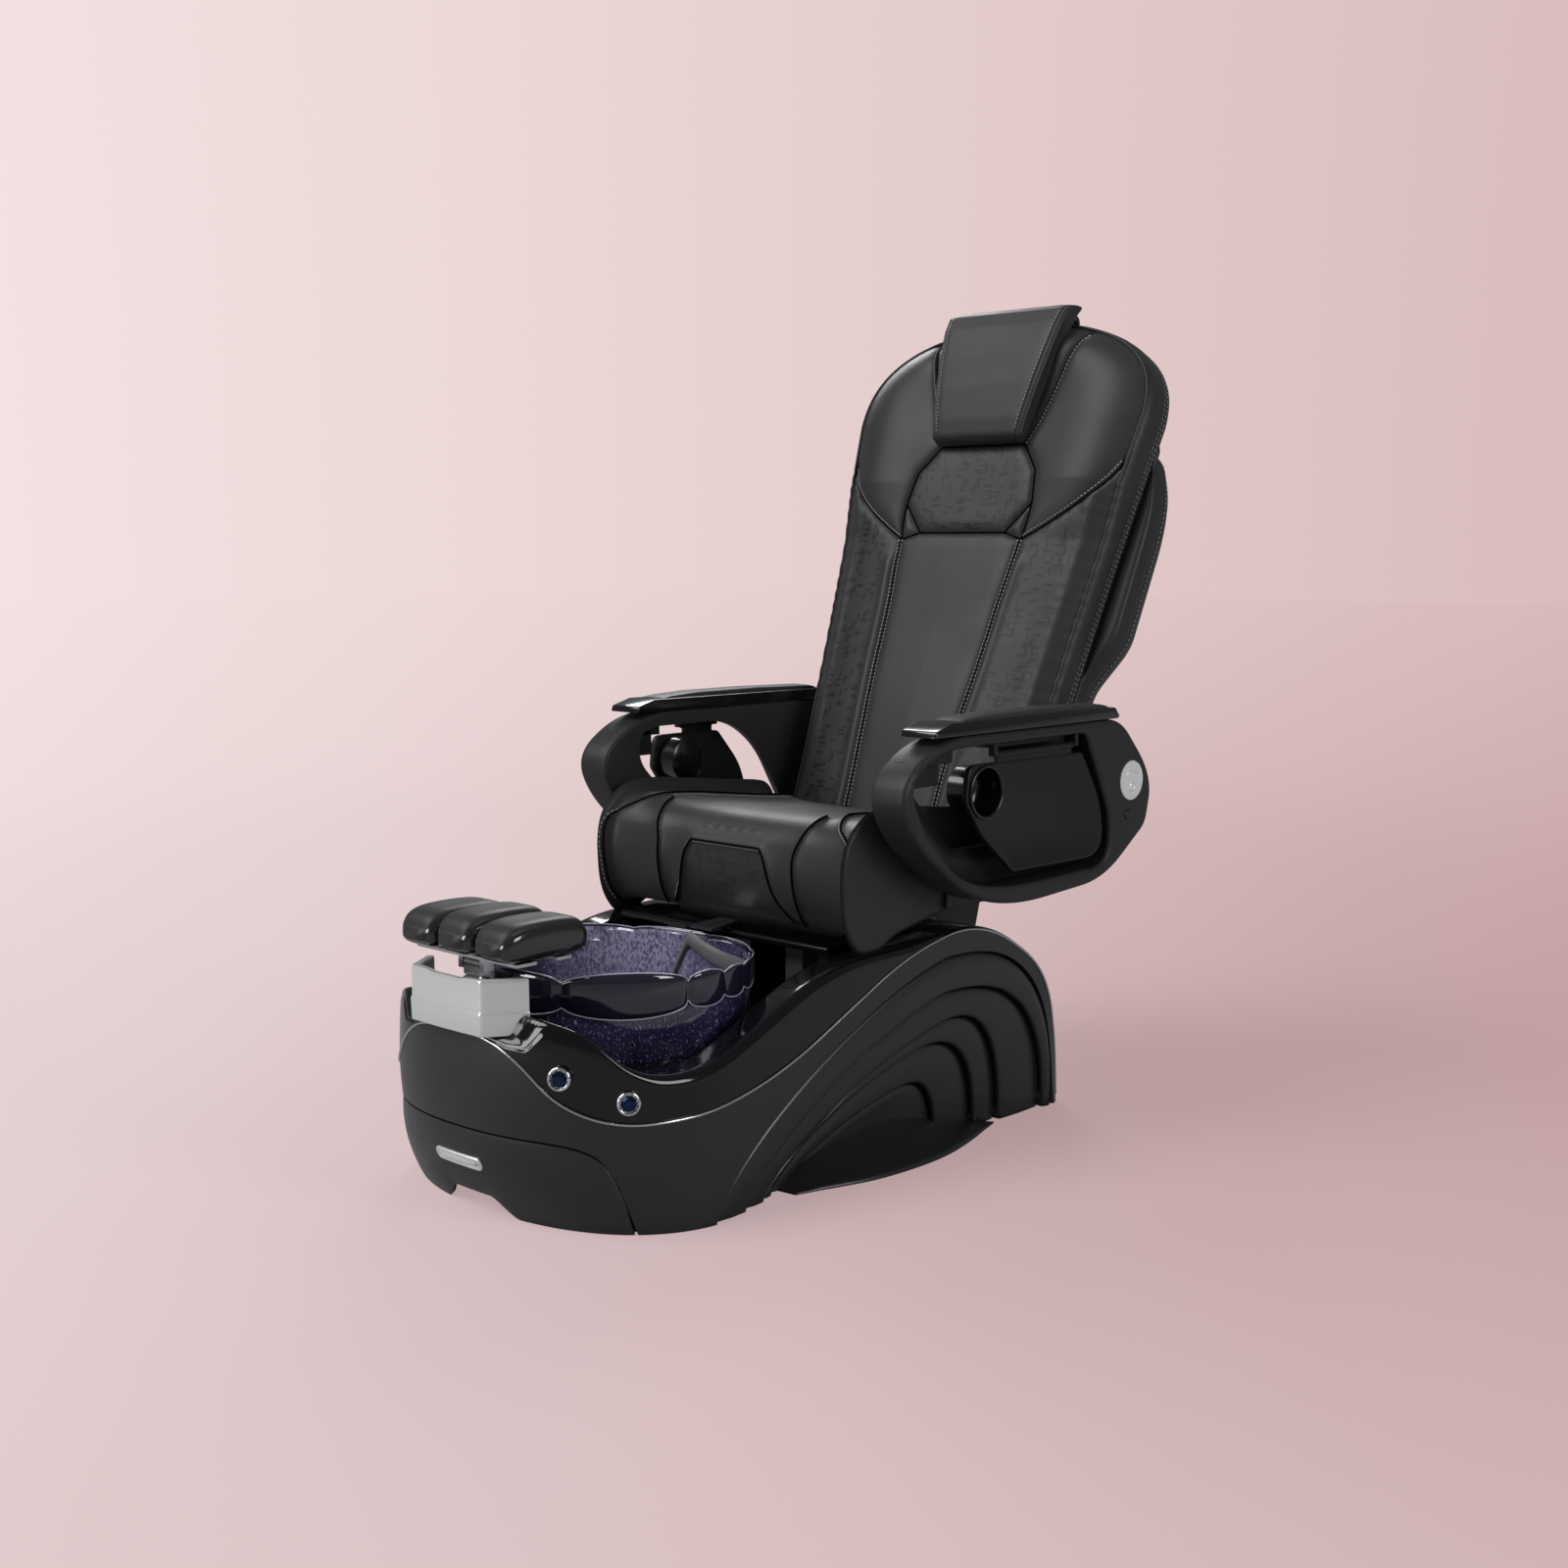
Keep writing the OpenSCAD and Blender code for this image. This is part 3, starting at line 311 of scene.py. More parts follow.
def colour_mix(mat, factor, low, high):
    """Mixes two colours. Factor is a (node, output) pair, and low and high are colours or such pairs."""
    mixed = node(mat, "ShaderNodeMix", {"Factor": factor}, data_type="RGBA")
    for socket, colour in ((MIX_A, low), (MIX_B, high)):
        if hasattr(colour[0], "outputs"):
            link(mat, *colour, mixed, socket)
        else:
            mixed.inputs[socket].default_value = tuple(colour) + (1,)
    return mixed


def coordinates(mat, scale=(1, 1, 1)):
    """Object coordinates in metres, stretched by scale."""
    place = node(mat, "ShaderNodeTexCoord")
    return node(mat, "ShaderNodeMapping", {"Vector": (place, "Object"), "Scale": scale})


def noise(mat, where, scale, detail, roughness=0.5):
    """Noise texture on the coordinates where."""
    return node(mat, "ShaderNodeTexNoise", {"Vector": (where, "Vector"), "Scale": scale, "Detail": detail,
                                            "Roughness": roughness})


def ramp(mat, value, low, high, start=0.0, end=1.0, **settings):
    """Takes a (node, output) value that runs from low to high to one that runs from start to end."""
    return node(mat, "ShaderNodeMapRange",
                {"Value": value, "From Min": low, "From Max": high, "To Min": start, "To Max": end},
                **settings)


def product(mat, a, b):
    """Multiplies two (node, output) values or numbers."""
    return node(mat, "ShaderNodeMath", {0: a, 1: b}, operation="MULTIPLY")


def base_material(name, colour, spread=0.15, roughness=0.4, rough_spread=0.06, wear=6.0, **scalars):
    """A surface whose colour and roughness drift a little over it, as on any moulded or painted piece."""
    mat = bpy.data.materials.new(name)
    mat.use_nodes = True
    shader = mat.node_tree.nodes["Principled BSDF"]
    for key, value in scalars.items():
        shader.inputs[SOCKETS[key]].default_value = value
    drift = noise(mat, coordinates(mat), wear, 6.0, 0.6)
    tint = colour_mix(mat, (drift, "Fac"), [c * (1 - spread) for c in colour],
                      [min(1.0, c * (1 + spread)) for c in colour])
    link(mat, tint, MIX_OUT, shader, "Base Color")
    matt = ramp(mat, (drift, "Fac"), 0.3, 0.7, roughness - rough_spread, roughness + rough_spread)
    link(mat, matt, "Result", shader, "Roughness")
    return mat


SOCKETS = {"coat": "Coat Weight", "coat_roughness": "Coat Roughness", "sheen": "Sheen Weight",
           "specular": "Specular IOR Level", "metallic": "Metallic"}


def shader_of(mat):
    """A material's main shader."""
    return mat.node_tree.nodes["Principled BSDF"]


def add_bump(mat, height, output, strength, distance):
    """Adds a relief on top of any that the material has. Distance is in millimetres."""
    shader = shader_of(mat)
    before = [l.from_node for l in shader.inputs["Normal"].links]
    relief = node(mat, "ShaderNodeBump", {"Height": (height, output), "Strength": strength,
                                          "Distance": distance * MM})
    if before:
        link(mat, before[0], "Normal", relief, "Normal")
    link(mat, relief, "Normal", shader, "Normal")
    return relief


def grain(mat, size, strength, distance=0.3):
    """Fine irregular relief, size millimetres across."""
    add_bump(mat, noise(mat, coordinates(mat), 1000.0 / size, 3.0), "Fac", strength, distance)
    return mat


def overlay(mat, factor, output, colour):
    """Lays another colour over the base colour where factor is 1."""
    under = shader_of(mat).inputs["Base Color"].links[0].from_node
    over = colour_mix(mat, (factor, output), (under, MIX_OUT), colour)
    link(mat, over, MIX_OUT, shader_of(mat), "Base Color")


def leather(name, colour):
    """Upholstery leather with pebbled grain. Where the attribute emboss is 1 it has short pressed strokes."""
    mat = base_material(name, colour, spread=0.10, roughness=0.44, rough_spread=0.05, wear=9.0, specular=0.29,
                        sheen=0.03)
    where = coordinates(mat)
    pebbles = node(mat, "ShaderNodeTexVoronoi", {"Vector": (where, "Vector"), "Scale": 520.0},
                   feature="DISTANCE_TO_EDGE")
    add_bump(mat, pebbles, "Distance", 0.35, 0.35)
    add_bump(mat, noise(mat, where, 60.0, 5.0), "Fac", 0.18, 1.0)
    waver = noise(mat, where, 24.0, 1.0)
    bent = node(mat, "ShaderNodeVectorMath", {0: (waver, "Color"), 1: (0.012, 0.012, 0.012),
                                              2: (where, "Vector")}, operation="MULTIPLY_ADD")
    marks = []
    for stretch, share in (((34, 34, 130), 0.42), ((120, 34, 36), 0.62)):
        laid = node(mat, "ShaderNodeMapping", {"Vector": (bent, "Vector"), "Scale": stretch})
        cells = node(mat, "ShaderNodeTexVoronoi", {"Vector": (laid, "Vector"), "Scale": 1.0})
        near = ramp(mat, (cells, "Distance"), 0.44, 0.32)
        pick = node(mat, "ShaderNodeSeparateColor", {"Color": (cells, "Color")})
        kept = node(mat, "ShaderNodeMath", {0: (pick, "Red"), 1: share}, operation="GREATER_THAN")
        marks.append(product(mat, (near, "Result"), (kept, "Value")))
    strokes = node(mat, "ShaderNodeMath", {0: (marks[0], "Value"), 1: (marks[1], "Value")},
                   operation="MAXIMUM")
    pressed = node(mat, "ShaderNodeAttribute", attribute_name="emboss")
    shown = product(mat, (strokes, "Value"), (pressed, "Fac"))
    overlay(mat, shown, "Value", tuple(c * 0.30 for c in colour))
    add_bump(mat, shown, "Value", -0.7, 0.9)
    return mat


FLECKS = ((330.0, 0.60, (0.30, 0.27, 0.46)), (150.0, 0.66, (0.52, 0.50, 0.66)))   # (scale, threshold, colour)
PAINTED_HIGHLIGHT_SPOT = (-0.150, -0.235, 0.330)   # pale flecks are painted thicker about here as a painted highlight, in metres


def bowl_glass():
    """Dark violet glass, strewn with pale flecks under a clear gloss. About one spot the flecks are laid
    thicker and paler, as a painted highlight.
    """
    mat = base_material("bowl_glass", (0.018, 0.012, 0.040), spread=0.5, roughness=0.10, rough_spread=0.03,
                        wear=14.0, coat=1.0, coat_roughness=0.04)
    where = coordinates(mat, (1, 1, 0.55))
    clouds = noise(mat, where, 9.0, 4.0)
    overlay(mat, ramp(mat, (clouds, "Fac"), 0.46, 0.72, 0.0, 0.55), "Result", (0.085, 0.065, 0.17))
    for scale, low, colour in FLECKS:
        shown = ramp(mat, (noise(mat, where, scale, 2.0, 0.7), "Fac"), low, low + 0.05)
        thick = ramp(mat, (clouds, "Fac"), 0.38, 0.62, 0.25)
        overlay(mat, product(mat, (shown, "Result"), (thick, "Result")), "Value", colour)
    # painted highlight: pale flecks gathered round one spot stand in for light on the wall
    off = node(mat, "ShaderNodeVectorMath", {0: (coordinates(mat), "Vector"), 1: PAINTED_HIGHLIGHT_SPOT},
               operation="DISTANCE")
    lit = ramp(mat, (off, "Value"), 0.19, 0.05, 0.0, 0.8)
    highlight_flecks = ramp(mat, (noise(mat, where, 210.0, 3.0, 0.75), "Fac"), 0.42, 0.56, 0.25)
    overlay(mat, product(mat, (lit, "Result"), (highlight_flecks, "Result")), "Value", (0.42, 0.40, 0.58))
    add_bump(mat, noise(mat, where, 26.0, 2.0), "Fac", 0.25, 3.0)
    return mat


def brushed(name, colour, roughness=0.22, stretch=(900, 60, 900), strength=0.12, metallic=1.0, **scalars):
    """Metal with fine streaks."""
    mat = base_material(name, colour, spread=0.05, roughness=roughness, rough_spread=0.05,
                        metallic=metallic, **scalars)
    add_bump(mat, noise(mat, coordinates(mat, stretch), 1.0, 3.0), "Fac", strength, 0.1)
    return mat


def plywood():
    """Boards of pale layers."""
    mat = base_material("plywood", (0.34, 0.22, 0.12), spread=0.2, roughness=0.6)
    where = coordinates(mat, (30, 2, 300))
    rings = node(mat, "ShaderNodeTexWave", {"Vector": (where, "Vector"), "Scale": 1.0, "Distortion": 6.0,
                                            "Detail": 3.0})
    overlay(mat, product(mat, (rings, "Fac"), 0.5), "Value", (0.20, 0.12, 0.06))
    return mat


def base_finishes():
    """Finishes of the base, the bowl and the knobs, by name."""
    m = {}
    m["satin"] = grain(base_material("satin_shell", (0.015, 0.015, 0.0155), 0.10, 0.34, coat=0.25,
                                     coat_roughness=0.22, specular=0.5), 1.2, 0.10)
    m["gloss"] = grain(base_material("gloss_cover", (0.0026, 0.0029, 0.0036), 0.2, 0.10, 0.03, specular=0.3,
                                     coat=0.45, coat_roughness=0.03), 60.0, 0.02, 1.0)
    m["silver"] = brushed("silver_plate", (0.82, 0.83, 0.84), 0.30, (60, 900, 900), metallic=0.6)
    m["bead"] = brushed("trim_bead", (0.70, 0.74, 0.75), 0.20)
    m["cap"] = brushed("chrome_cap", (0.80, 0.82, 0.80), 0.20, (40, 900, 900), 0.04, metallic=0.55)
    m["chrome"] = brushed("chrome", (0.78, 0.79, 0.80), 0.09, strength=0.03)
    m["steel"] = brushed("polished_steel", (0.62, 0.63, 0.64), 0.22)
    m["zinc"] = brushed("zinc_steel", (0.46, 0.47, 0.48), 0.38)
    m["brass"] = brushed("brass_fitting", (0.60, 0.46, 0.18), 0.28)
    m["glass"] = bowl_glass()
    m["collar"] = grain(base_material("glass_collar", (0.012, 0.010, 0.024), 0.6, 0.10, 0.03, coat=1.0), 30.0,
                        0.1, 1.5)
    # painted highlight: pale glass for the tubes along the bowl's rim and the collar's foot
    m["edge"] = base_material("glass_edge", (0.30, 0.29, 0.36), 0.35, 0.16, 0.05, wear=40.0, coat=0.8)
    m["patent"] = grain(base_material("patent_side", (0.012, 0.013, 0.013), 0.2, 0.16, 0.04, coat=0.9), 20.0,
                        0.05, 0.8)
    m["wave"] = grain(base_material("smooth_glass", (0.105, 0.105, 0.110), 0.10, 0.42), 40.0, 0.05, 1.0)
    m["gem"] = base_material("knob_gem", (0.020, 0.034, 0.085), 0.9, 0.06, 0.03, metallic=0.9,
                             wear=120.0)
    return m


def inner_finishes():
    """Finishes of the frame and of what is inside, by name."""
    m = {}
    m["frame"] = grain(base_material("painted_frame", (0.075, 0.080, 0.085), 0.12, 0.42), 2.5, 0.25)
    m["bracket"] = grain(base_material("bracket_paint", (0.012, 0.012, 0.013), 0.12, 0.40), 1.5, 0.2)
    m["plastic"] = grain(base_material("black_plastic", (0.010, 0.010, 0.011), 0.15, 0.45), 0.9, 0.2)
    m["jet"] = grain(base_material("jet_plastic", (0.42, 0.43, 0.44), 0.06, 0.30), 1.5, 0.08)
    m["pipe"] = grain(base_material("pipe_plastic", (0.27, 0.27, 0.28), 0.08, 0.42), 2.0, 0.12)
    m["roller"] = grain(base_material("roller_plastic", (0.58, 0.54, 0.44), 0.06, 0.42), 1.2, 0.12)
    m["plywood"] = plywood()
    return m


def upper_finishes():
    """Finishes of the arms, the trays and the upholstery, by name."""
    m = {}
    m["arm"] = grain(base_material("arm_plastic", (0.022, 0.022, 0.022), 0.10, 0.46, 0.05, specular=0.32),
                     0.8, 0.16)
    m["cap_gloss"] = grain(base_material("gloss_cap", (0.003, 0.003, 0.0035), 0.2, 0.16, 0.03, coat=0.6,
                                         coat_roughness=0.04), 50.0, 0.02, 1.0)
    m["pad"] = leather("arm_pad_foam", (0.028, 0.028, 0.028))
    m["disc"] = brushed("silver_disc", (0.88, 0.88, 0.87), 0.26, (700, 700, 700), 0.08, metallic=0.4)
    m["button"] = grain(base_material("button_plastic", (0.014, 0.014, 0.015), 0.15, 0.30), 1.0, 0.1)
    m["tray"] = grain(base_material("tray_plastic", (0.009, 0.009, 0.0095), 0.12, 0.38, 0.05, specular=0.35),
                      0.8, 0.10)
    m["cup"] = grain(base_material("cup_gloss", (0.003, 0.003, 0.0035), 0.2, 0.22, 0.04, coat=0.3), 30.0,
                     0.03, 1.0)
    m["leather"] = leather("upholstery", (0.026, 0.026, 0.0263))
    m["back"] = leather("shell_upholstery", (0.024, 0.024, 0.0245))
    m["thread"] = grain(base_material("thread", (0.42, 0.42, 0.42), 0.1, 0.6), 0.8, 0.3)
    # painted shade: near-black cords for the shade in grooves, seams and the front panel's joint
    m["painted_shade_cord"] = grain(base_material("painted_shade_cord", (0.0015, 0.0015, 0.0015), 0.1, 0.7, specular=0.05),
                             0.8, 0.3)
    return m


look = {**base_finishes(), **inner_finishes(), **upper_finishes()}


# ---------------------------------------------------------------- base shells

BASE_HALF_W = 325.0
NOSE_REACH, TAIL_REACH = 292.0, 245.0
SIDE_Y0, SIDE_Y1 = -500.0, 200.0
NOSE_N, TAIL_N = 2.25, 6.0
BULGE_Z, BODY_Z = 220.0, 400.0
NOSE_RAKE, NOSE_TUCK = 57.0, 22.0
LEDGE_W = 66.0
SHELF_Z = 236.0
DECK_Z, DECK_FRONT, ARCH_Y = 380.0, -196.0, 42.0
COVER_T = 5.0
SEAM_GAP = 1.6     # half the visible gap along a joint
BASE_CORE = (0, -200, 150)

TRIM = rounded([[-800, 312, 1], [-785, 309, 20], [-732, 175, 100], [-431, 185, 165], [-56, 356, 90],
                [150, 391, 120], [352, 266, 90], [402, 86, 50], [412, 0, 1]], False)
DIP = rounded([[-800, 306, 1], [-762, 308, 2], [-747, 342, 8], [-712, 324, 14], [-650, 250, 55],
               [-528, 248, 85], [-251, 368, 100], [40, 379, 1]], False)
SEAM = rounded([[-810, 152, 1], [-712, 146, 50], [-676, 84, 30], [-650, 0, 1]], False)
ARCHES = [(-532, 60, 336, 378), (-455, 60, 271, 348), (-402, 82, 217, 227), (-372, 30, 176, 166),
          (-330, -12, 110, 66)]   # front foot, crown, crown height, rear foot
ARCH_N = (1.35, 2.6)
ARCH_STEP = 12.0


def side_at(z):
    """Half width of the base at height z."""
    return BASE_HALF_W + 8 * np.clip(1 - z / BULGE_Z, 0, 1) ** 2 - 6 * np.clip(z / BODY_Z - 0.5, 0, 1)


def nose_at(z):
    """How far the nose reaches in front of the straight sides at height z."""
    low = NOSE_RAKE * np.clip((BULGE_Z - z) / BULGE_Z, 0, 1) ** 2
    high = NOSE_TUCK * np.clip((z - BULGE_Z) / (BODY_Z - BULGE_Z), 0, 1) ** 2
    return NOSE_REACH - low - high


def quarter(n, width, reach, step):
    """A quarter superellipse as shares (across, along), evenly spaced, from its middle to its side."""
    a = np.linspace(0, math.pi / 2, 900)
    p = np.stack([np.sin(a) ** (2 / n), np.cos(a) ** (2 / n)], axis=1)
    s = lengths(p * [width, reach])
    at = np.linspace(0, s[-1], int(s[-1] / step) + 1)
    return np.stack([np.interp(at, s, p[:, k]) for k in (0, 1)], axis=1)


def plan_columns(step=5.0):
    """Half of the base plan, nose to tail, as columns: width share, start in y, nose and tail shares."""
    nose = quarter(NOSE_N, BASE_HALF_W, NOSE_REACH, step)
    tail = quarter(TAIL_N, BASE_HALF_W, TAIL_REACH, step)[::-1]
    straight = np.arange(SIDE_Y0 + step, SIDE_Y1, step)
    return np.vstack([[[a, SIDE_Y0, b, 0] for a, b in nose], [[1, y, 0, 0] for y in straight],
                      [[a, SIDE_Y1, 0, b] for a, b in tail]])


def all_round(cols):
    """The right half's columns from tail to nose, then the left half's from nose to tail."""
    return np.vstack([(cols * [-1, 1, 1, 1])[:0:-1], cols])


def base_point(cols, z, inset=0.0):
    """Points on the base's surface, drawn in by an inset, on columns (n, 4) at heights (rows, n)."""
    z = np.asarray(z, float)
    x = cols[:, 0] * (side_at(z) - inset)
    y = cols[:, 1] - cols[:, 2] * (nose_at(z) - inset) + cols[:, 3] * (TAIL_REACH - inset)
    return np.stack([x, y, z + 0 * x], axis=-1)


def crossing(cols, curve):
    """Height at which each column meets a curve, which gives z for y."""
    low, high = np.full(len(cols), -20.0), np.full(len(cols), 420.0)
    for _ in range(32):
        z = (low + high) / 2
        above = z > curve(base_point(cols, z)[:, 1])
        high = np.where(above, z, high)
        low = np.where(above, low, z)
    return (low + high) / 2


def along(points):
    """A curve of [y, z] points as a function of y."""
    return lambda y: np.interp(y, points[:, 0], points[:, 1])


def arch_height(k):
    """Outline of side panel arch k as a function of y."""
    front, crown, top, rear = ARCHES[k]

    def height(y):
        """The outline's height at y."""
        t = np.where(y < crown, (crown - y) / (crown - front), (y - crown) / (rear - crown))
        n = np.where(y < crown, ARCH_N[0], ARCH_N[1])
        return top * np.clip(1 - np.clip(t, 0, 1) ** n, 0, 1) ** (1 / n)
    return height


def shell_between(cols, low, high, rows):
    """Grid of the base's surface between two heights for each column."""
    t = np.linspace(0, 1, rows)[:, None]
    return base_point(cols, low + (high - low) * t)


def tops_of(cols, curve, inset):
    """Points of columns drawn in by an inset, at the height of a curve there."""
    z = crossing(cols, curve)
    for _ in range(4):
        z = curve(base_point(cols, z, inset)[:, 1])
    return base_point(cols, z, inset)


def lower_shell():
    """Satin shell of the base: it runs round the nose, between the floor, the front panel's seam, the side
    panels' outer arch and the trim line."""
    cols = all_round(plan_columns())
    high = crossing(cols, along(TRIM)) - 0.5
    seam = crossing(cols, along(SEAM))
    low = np.maximum(np.where(seam > 0.5, seam + SEAM_GAP, 0), crossing(cols, arch_height(0)))
    keep = high - low > 1.5
    grid = shell_between(cols[keep], np.clip(low[keep], 0, None), high[keep], 34)
    obj = surface("lower_shell_skin", grid, "base", "satin", ["lower_shell"], core=BASE_CORE)
    thicken(obj, 8, 2.2, 3)


NOTCH_HALF_W, NOTCH_TOP_HALF_W, NOTCH_H = 92.0, 40.0, 34.0
PANEL_SWELL = 6.0
JOINT_BACK, JOINT_R, JOINT_MORE = 12.0, 7.0, 3   # the near-black bar behind the joint, painted shade in its gap, and its spare columns


def notch_height(x):
    """The toe notch at the foot of the nose."""
    return NOTCH_H * smooth((NOTCH_HALF_W - np.abs(x)) / (NOTCH_HALF_W - NOTCH_TOP_HALF_W))


def front_swell(z, foot, seam):
    """How far the front panel bulges at height z, between its foot and its seam."""
    t = np.clip((z - foot) / np.maximum(seam - foot, 1), 0, 1)
    return PANEL_SWELL * np.sin(math.pi * t) ** 0.8 * smooth(seam / 90)


def front_panel():
    """Lower nose panel: it bulges below its seam, and has the toe notch. A near-black bar behind its joint
    paints the shade in the gap.
    """
    cols = all_round(plan_columns(4.0))
    seam = crossing(cols, along(SEAM)) - SEAM_GAP
    reach = np.flatnonzero(seam > 2.0)
    behind = slice(reach[0] - JOINT_MORE, reach[-1] + JOINT_MORE + 1)
    joint = base_point(cols[behind], np.maximum(seam[behind], JOINT_R + 1), JOINT_BACK)
    cols, seam = cols[seam > 2.0], seam[seam > 2.0]
    foot = notch_height(base_point(cols, 0 * seam)[:, 0])
    z = foot + (seam - foot) * np.linspace(0, 1, 30)[:, None]
    grid = base_point(cols, z, -front_swell(z, foot, seam))
    obj = surface("front_panel_skin", grid, "base", "satin", ["front_panel"], core=BASE_CORE)
    thicken(obj, 8, 2.0, 3)
    # painted shade: a near-black bar fills the joint's gap
    solid("front_panel_joint", tube_grid(joint, JOINT_R, 8), "base", "painted_shade_cord")


BADGE_HALF_L, BADGE_R, BADGE_Z = 58.0, 11.0, 93.0
BADGE_RELIEF = [(1, 2.0), (0.9, 3.2), (0.74, 3.6), (0.62, 2.9), (0.3, 3.1), (0.02, 3.2)]   # (share, out)


def badge_outline():
    """The lozenge's outline, on the swell of the front panel."""
    a = np.linspace(-math.pi / 2, math.pi / 2, 17)
    end = np.stack([BADGE_HALF_L - BADGE_R + BADGE_R * np.cos(a), BADGE_R * np.sin(a)], axis=1)
    path = resample(np.vstack([end, end[::-1] * [-1, 1]]), 2.5, True)[:96]
    x, z = path[:, 0], BADGE_Z + path[:, 1]
    reach = nose_at(z) + front_swell(z, NOTCH_H, 150)
    y = SIDE_Y0 - reach * (1 - np.abs(x / side_at(z)) ** NOSE_N) ** (1 / NOSE_N)
    return np.stack([x, y, z], axis=1)


def ring_to(outer, share, out):
    """The lozenge's outline drawn in to a share of its half height, and pushed forward."""
    ring = outer.copy()
    ring[:, 2] = BADGE_Z + (outer[:, 2] - BADGE_Z) * share
    ring[:, 0] = outer[:, 0] * (BADGE_HALF_L - BADGE_R * (1 - share)) / BADGE_HALF_L
    ring[:, 1] = outer[:, 1] - out
    return ring


def badge():
    """Bare silver lozenge with a bevelled rim, on the front panel."""
    outer = badge_outline()
    rings = [outer] + [ring_to(outer, share, out) for share, out in BADGE_RELIEF]
    solid("badge_plate_face", np.array(rings), "base", "silver", ["badge_plate"], sharp=40)


BOWL_Y = -450.0
BOWL_A, BOWL_B = 252.0, 246.0     # half its width and half its length at the rim
SHELF_T = 8.0
ROLL_R, LIP_R_IN = 16.0, 8.0      # rounding of the walls' top and of the ledge's inner edge
LEDGE_FALL = 2.5                  # how far the ledge slopes down
SHELF_LAP = 4.0                   # the shelf runs this far under the walls
SHELF_MEETS, SHELF_GAP = 0.885, 5.0   # it ends at this share of the bowl's rim, and this far out from it


def surround_wall(cols, low, top):
    """Half of the walls: the outer wall, its rolled top, the ledge, and the inner wall down to the shelf."""
    roll = np.minimum(ROLL_R, 0.75 * (top - low))
    rows = [base_point(cols, low + (top - roll - low) * t) for t in np.linspace(0, 1, 14)[:-1]]
    for b in np.linspace(0, math.pi / 2, 9):
        ring = tops_of(cols, along(DIP), roll * (1 - math.cos(b)))
        rows.append(ring - np.outer(roll * (1 - math.sin(b)), [0, 0, 1]))
    for t in np.linspace(0, 1, 8)[1:]:
        ring = tops_of(cols, along(DIP), mix(roll, LEDGE_W - LIP_R_IN, t))
        rows.append(ring - [0, 0, LEDGE_FALL * t])
    for b in np.linspace(0, math.pi / 2, 6)[1:]:
        ring = tops_of(cols, along(DIP), LEDGE_W - LIP_R_IN + LIP_R_IN * math.sin(b))
        rows.append(ring - [0, 0, LEDGE_FALL + LIP_R_IN * (1 - math.cos(b))])
    edge = rows[-1][:, 2]
    for t in np.linspace(0, 1, 7)[1:]:
        rows.append(base_point(cols, mix(edge, np.minimum(SHELF_Z, edge - 1), t), LEDGE_W))
    return np.array(rows)


def surround_shelf(cols):
    """Half of the shelf round the bowl, up to the deck."""
    cols = cols[base_point(cols, SHELF_Z + SHELF_T)[:, 1] < DECK_FRONT]
    outer = base_point(cols, np.full(len(cols), SHELF_Z + SHELF_T), LEDGE_W - SHELF_LAP)
    away = outer[:, :2] - [0, BOWL_Y]
    reach = np.array([BOWL_A, BOWL_B]) * SHELF_MEETS
    inner = away / np.linalg.norm(away / reach, axis=1, keepdims=True)
    inner = inner + SHELF_GAP * away / np.linalg.norm(away, axis=1, keepdims=True)
    rows = []
    for t in np.linspace(0, 1, 7):
        flat = mix(outer[:, :2], inner + [0, BOWL_Y], t)
        rows.append(np.column_stack([flat, outer[:, 2]]))
    return np.array(rows)


def surround():
    """Gloss cover: side walls with a rolled top, the ledge inside them and the shelf round the bowl."""
    cols = plan_columns(5.0)
    low = crossing(cols, along(TRIM)) + 0.5
    top = crossing(cols, along(DIP))
    keep = (top - low > 2.5) & (base_point(cols, top)[:, 1] < ARCH_Y)
    halves = [surround_wall(cols[keep], low[keep], top[keep]), surround_shelf(cols[keep])]
    grids = [half * [side, 1, 1] for half in halves for side in (1, -1)]
    obj = surface("surround_skin", grids, "base", "gloss", ["surround"], core=(0, -450, -500))
    thicken(obj, 3)


ARCH_ROLL = 7.0                 # width of the arch's rounded side edges
ARCH_UNDER = 2.5                # the arch's underside lies this far inside the shells


def rear_arch():
    """Grid of the arch from the deck down to the tail, standing proud of the side shells."""
    path = resample(TRIM[TRIM[:, 0] > 30], 7.0)
    path[-1, 1] = 0
    b = np.linspace(0, math.pi / 2, 7)
    rows = []
    for (y, z), (ny, nz) in zip(path, normals_2d(path, closed=False)):
        tail = max(y - SIDE_Y1, 0) / TAIL_REACH
        half = (side_at(z) + 0.6) * (1 - tail ** TAIL_N) ** (1 / TAIL_N)
        flat = np.linspace(half - ARCH_ROLL, 0, 12)[1:]
        x = np.concatenate([half - ARCH_ROLL + ARCH_ROLL * np.cos(b), flat])
        h = np.concatenate([COVER_T * np.sin(b), np.full(len(flat), COVER_T)])
        under = np.linspace(-half + 4, half - 4, 6)
        x = np.concatenate([x, -x[-2::-1], under])
        h = np.concatenate([h, h[-2::-1], np.full(len(under), -ARCH_UNDER)])
        rows.append(np.stack([x, y + ny * h, np.maximum(z + nz * h, 0)], axis=1))
    return np.array(rows)


def rear_deck():
    """Grid of the flat deck, with a rounded front edge."""
    width = BASE_HALF_W - LEDGE_W - 1
    section = rounded([[DECK_FRONT, DECK_Z - 12, 1], [DECK_FRONT, DECK_Z, 7], [ARCH_Y + 4, DECK_Z, 1]], False)
    section = np.vstack([section, [[ARCH_Y + 4, DECK_Z - 9], [DECK_FRONT + 8, DECK_Z - 9]]])
    return np.array([at_x(x, section) for x in np.linspace(-width, width, 20)])


def rear_cover():
    """Gloss deck behind the bowl, and the rear arch."""
    solid("rear_cover_skin", [rear_arch(), rear_deck()], "base", "gloss", ["rear_cover"],
          sharp=50)


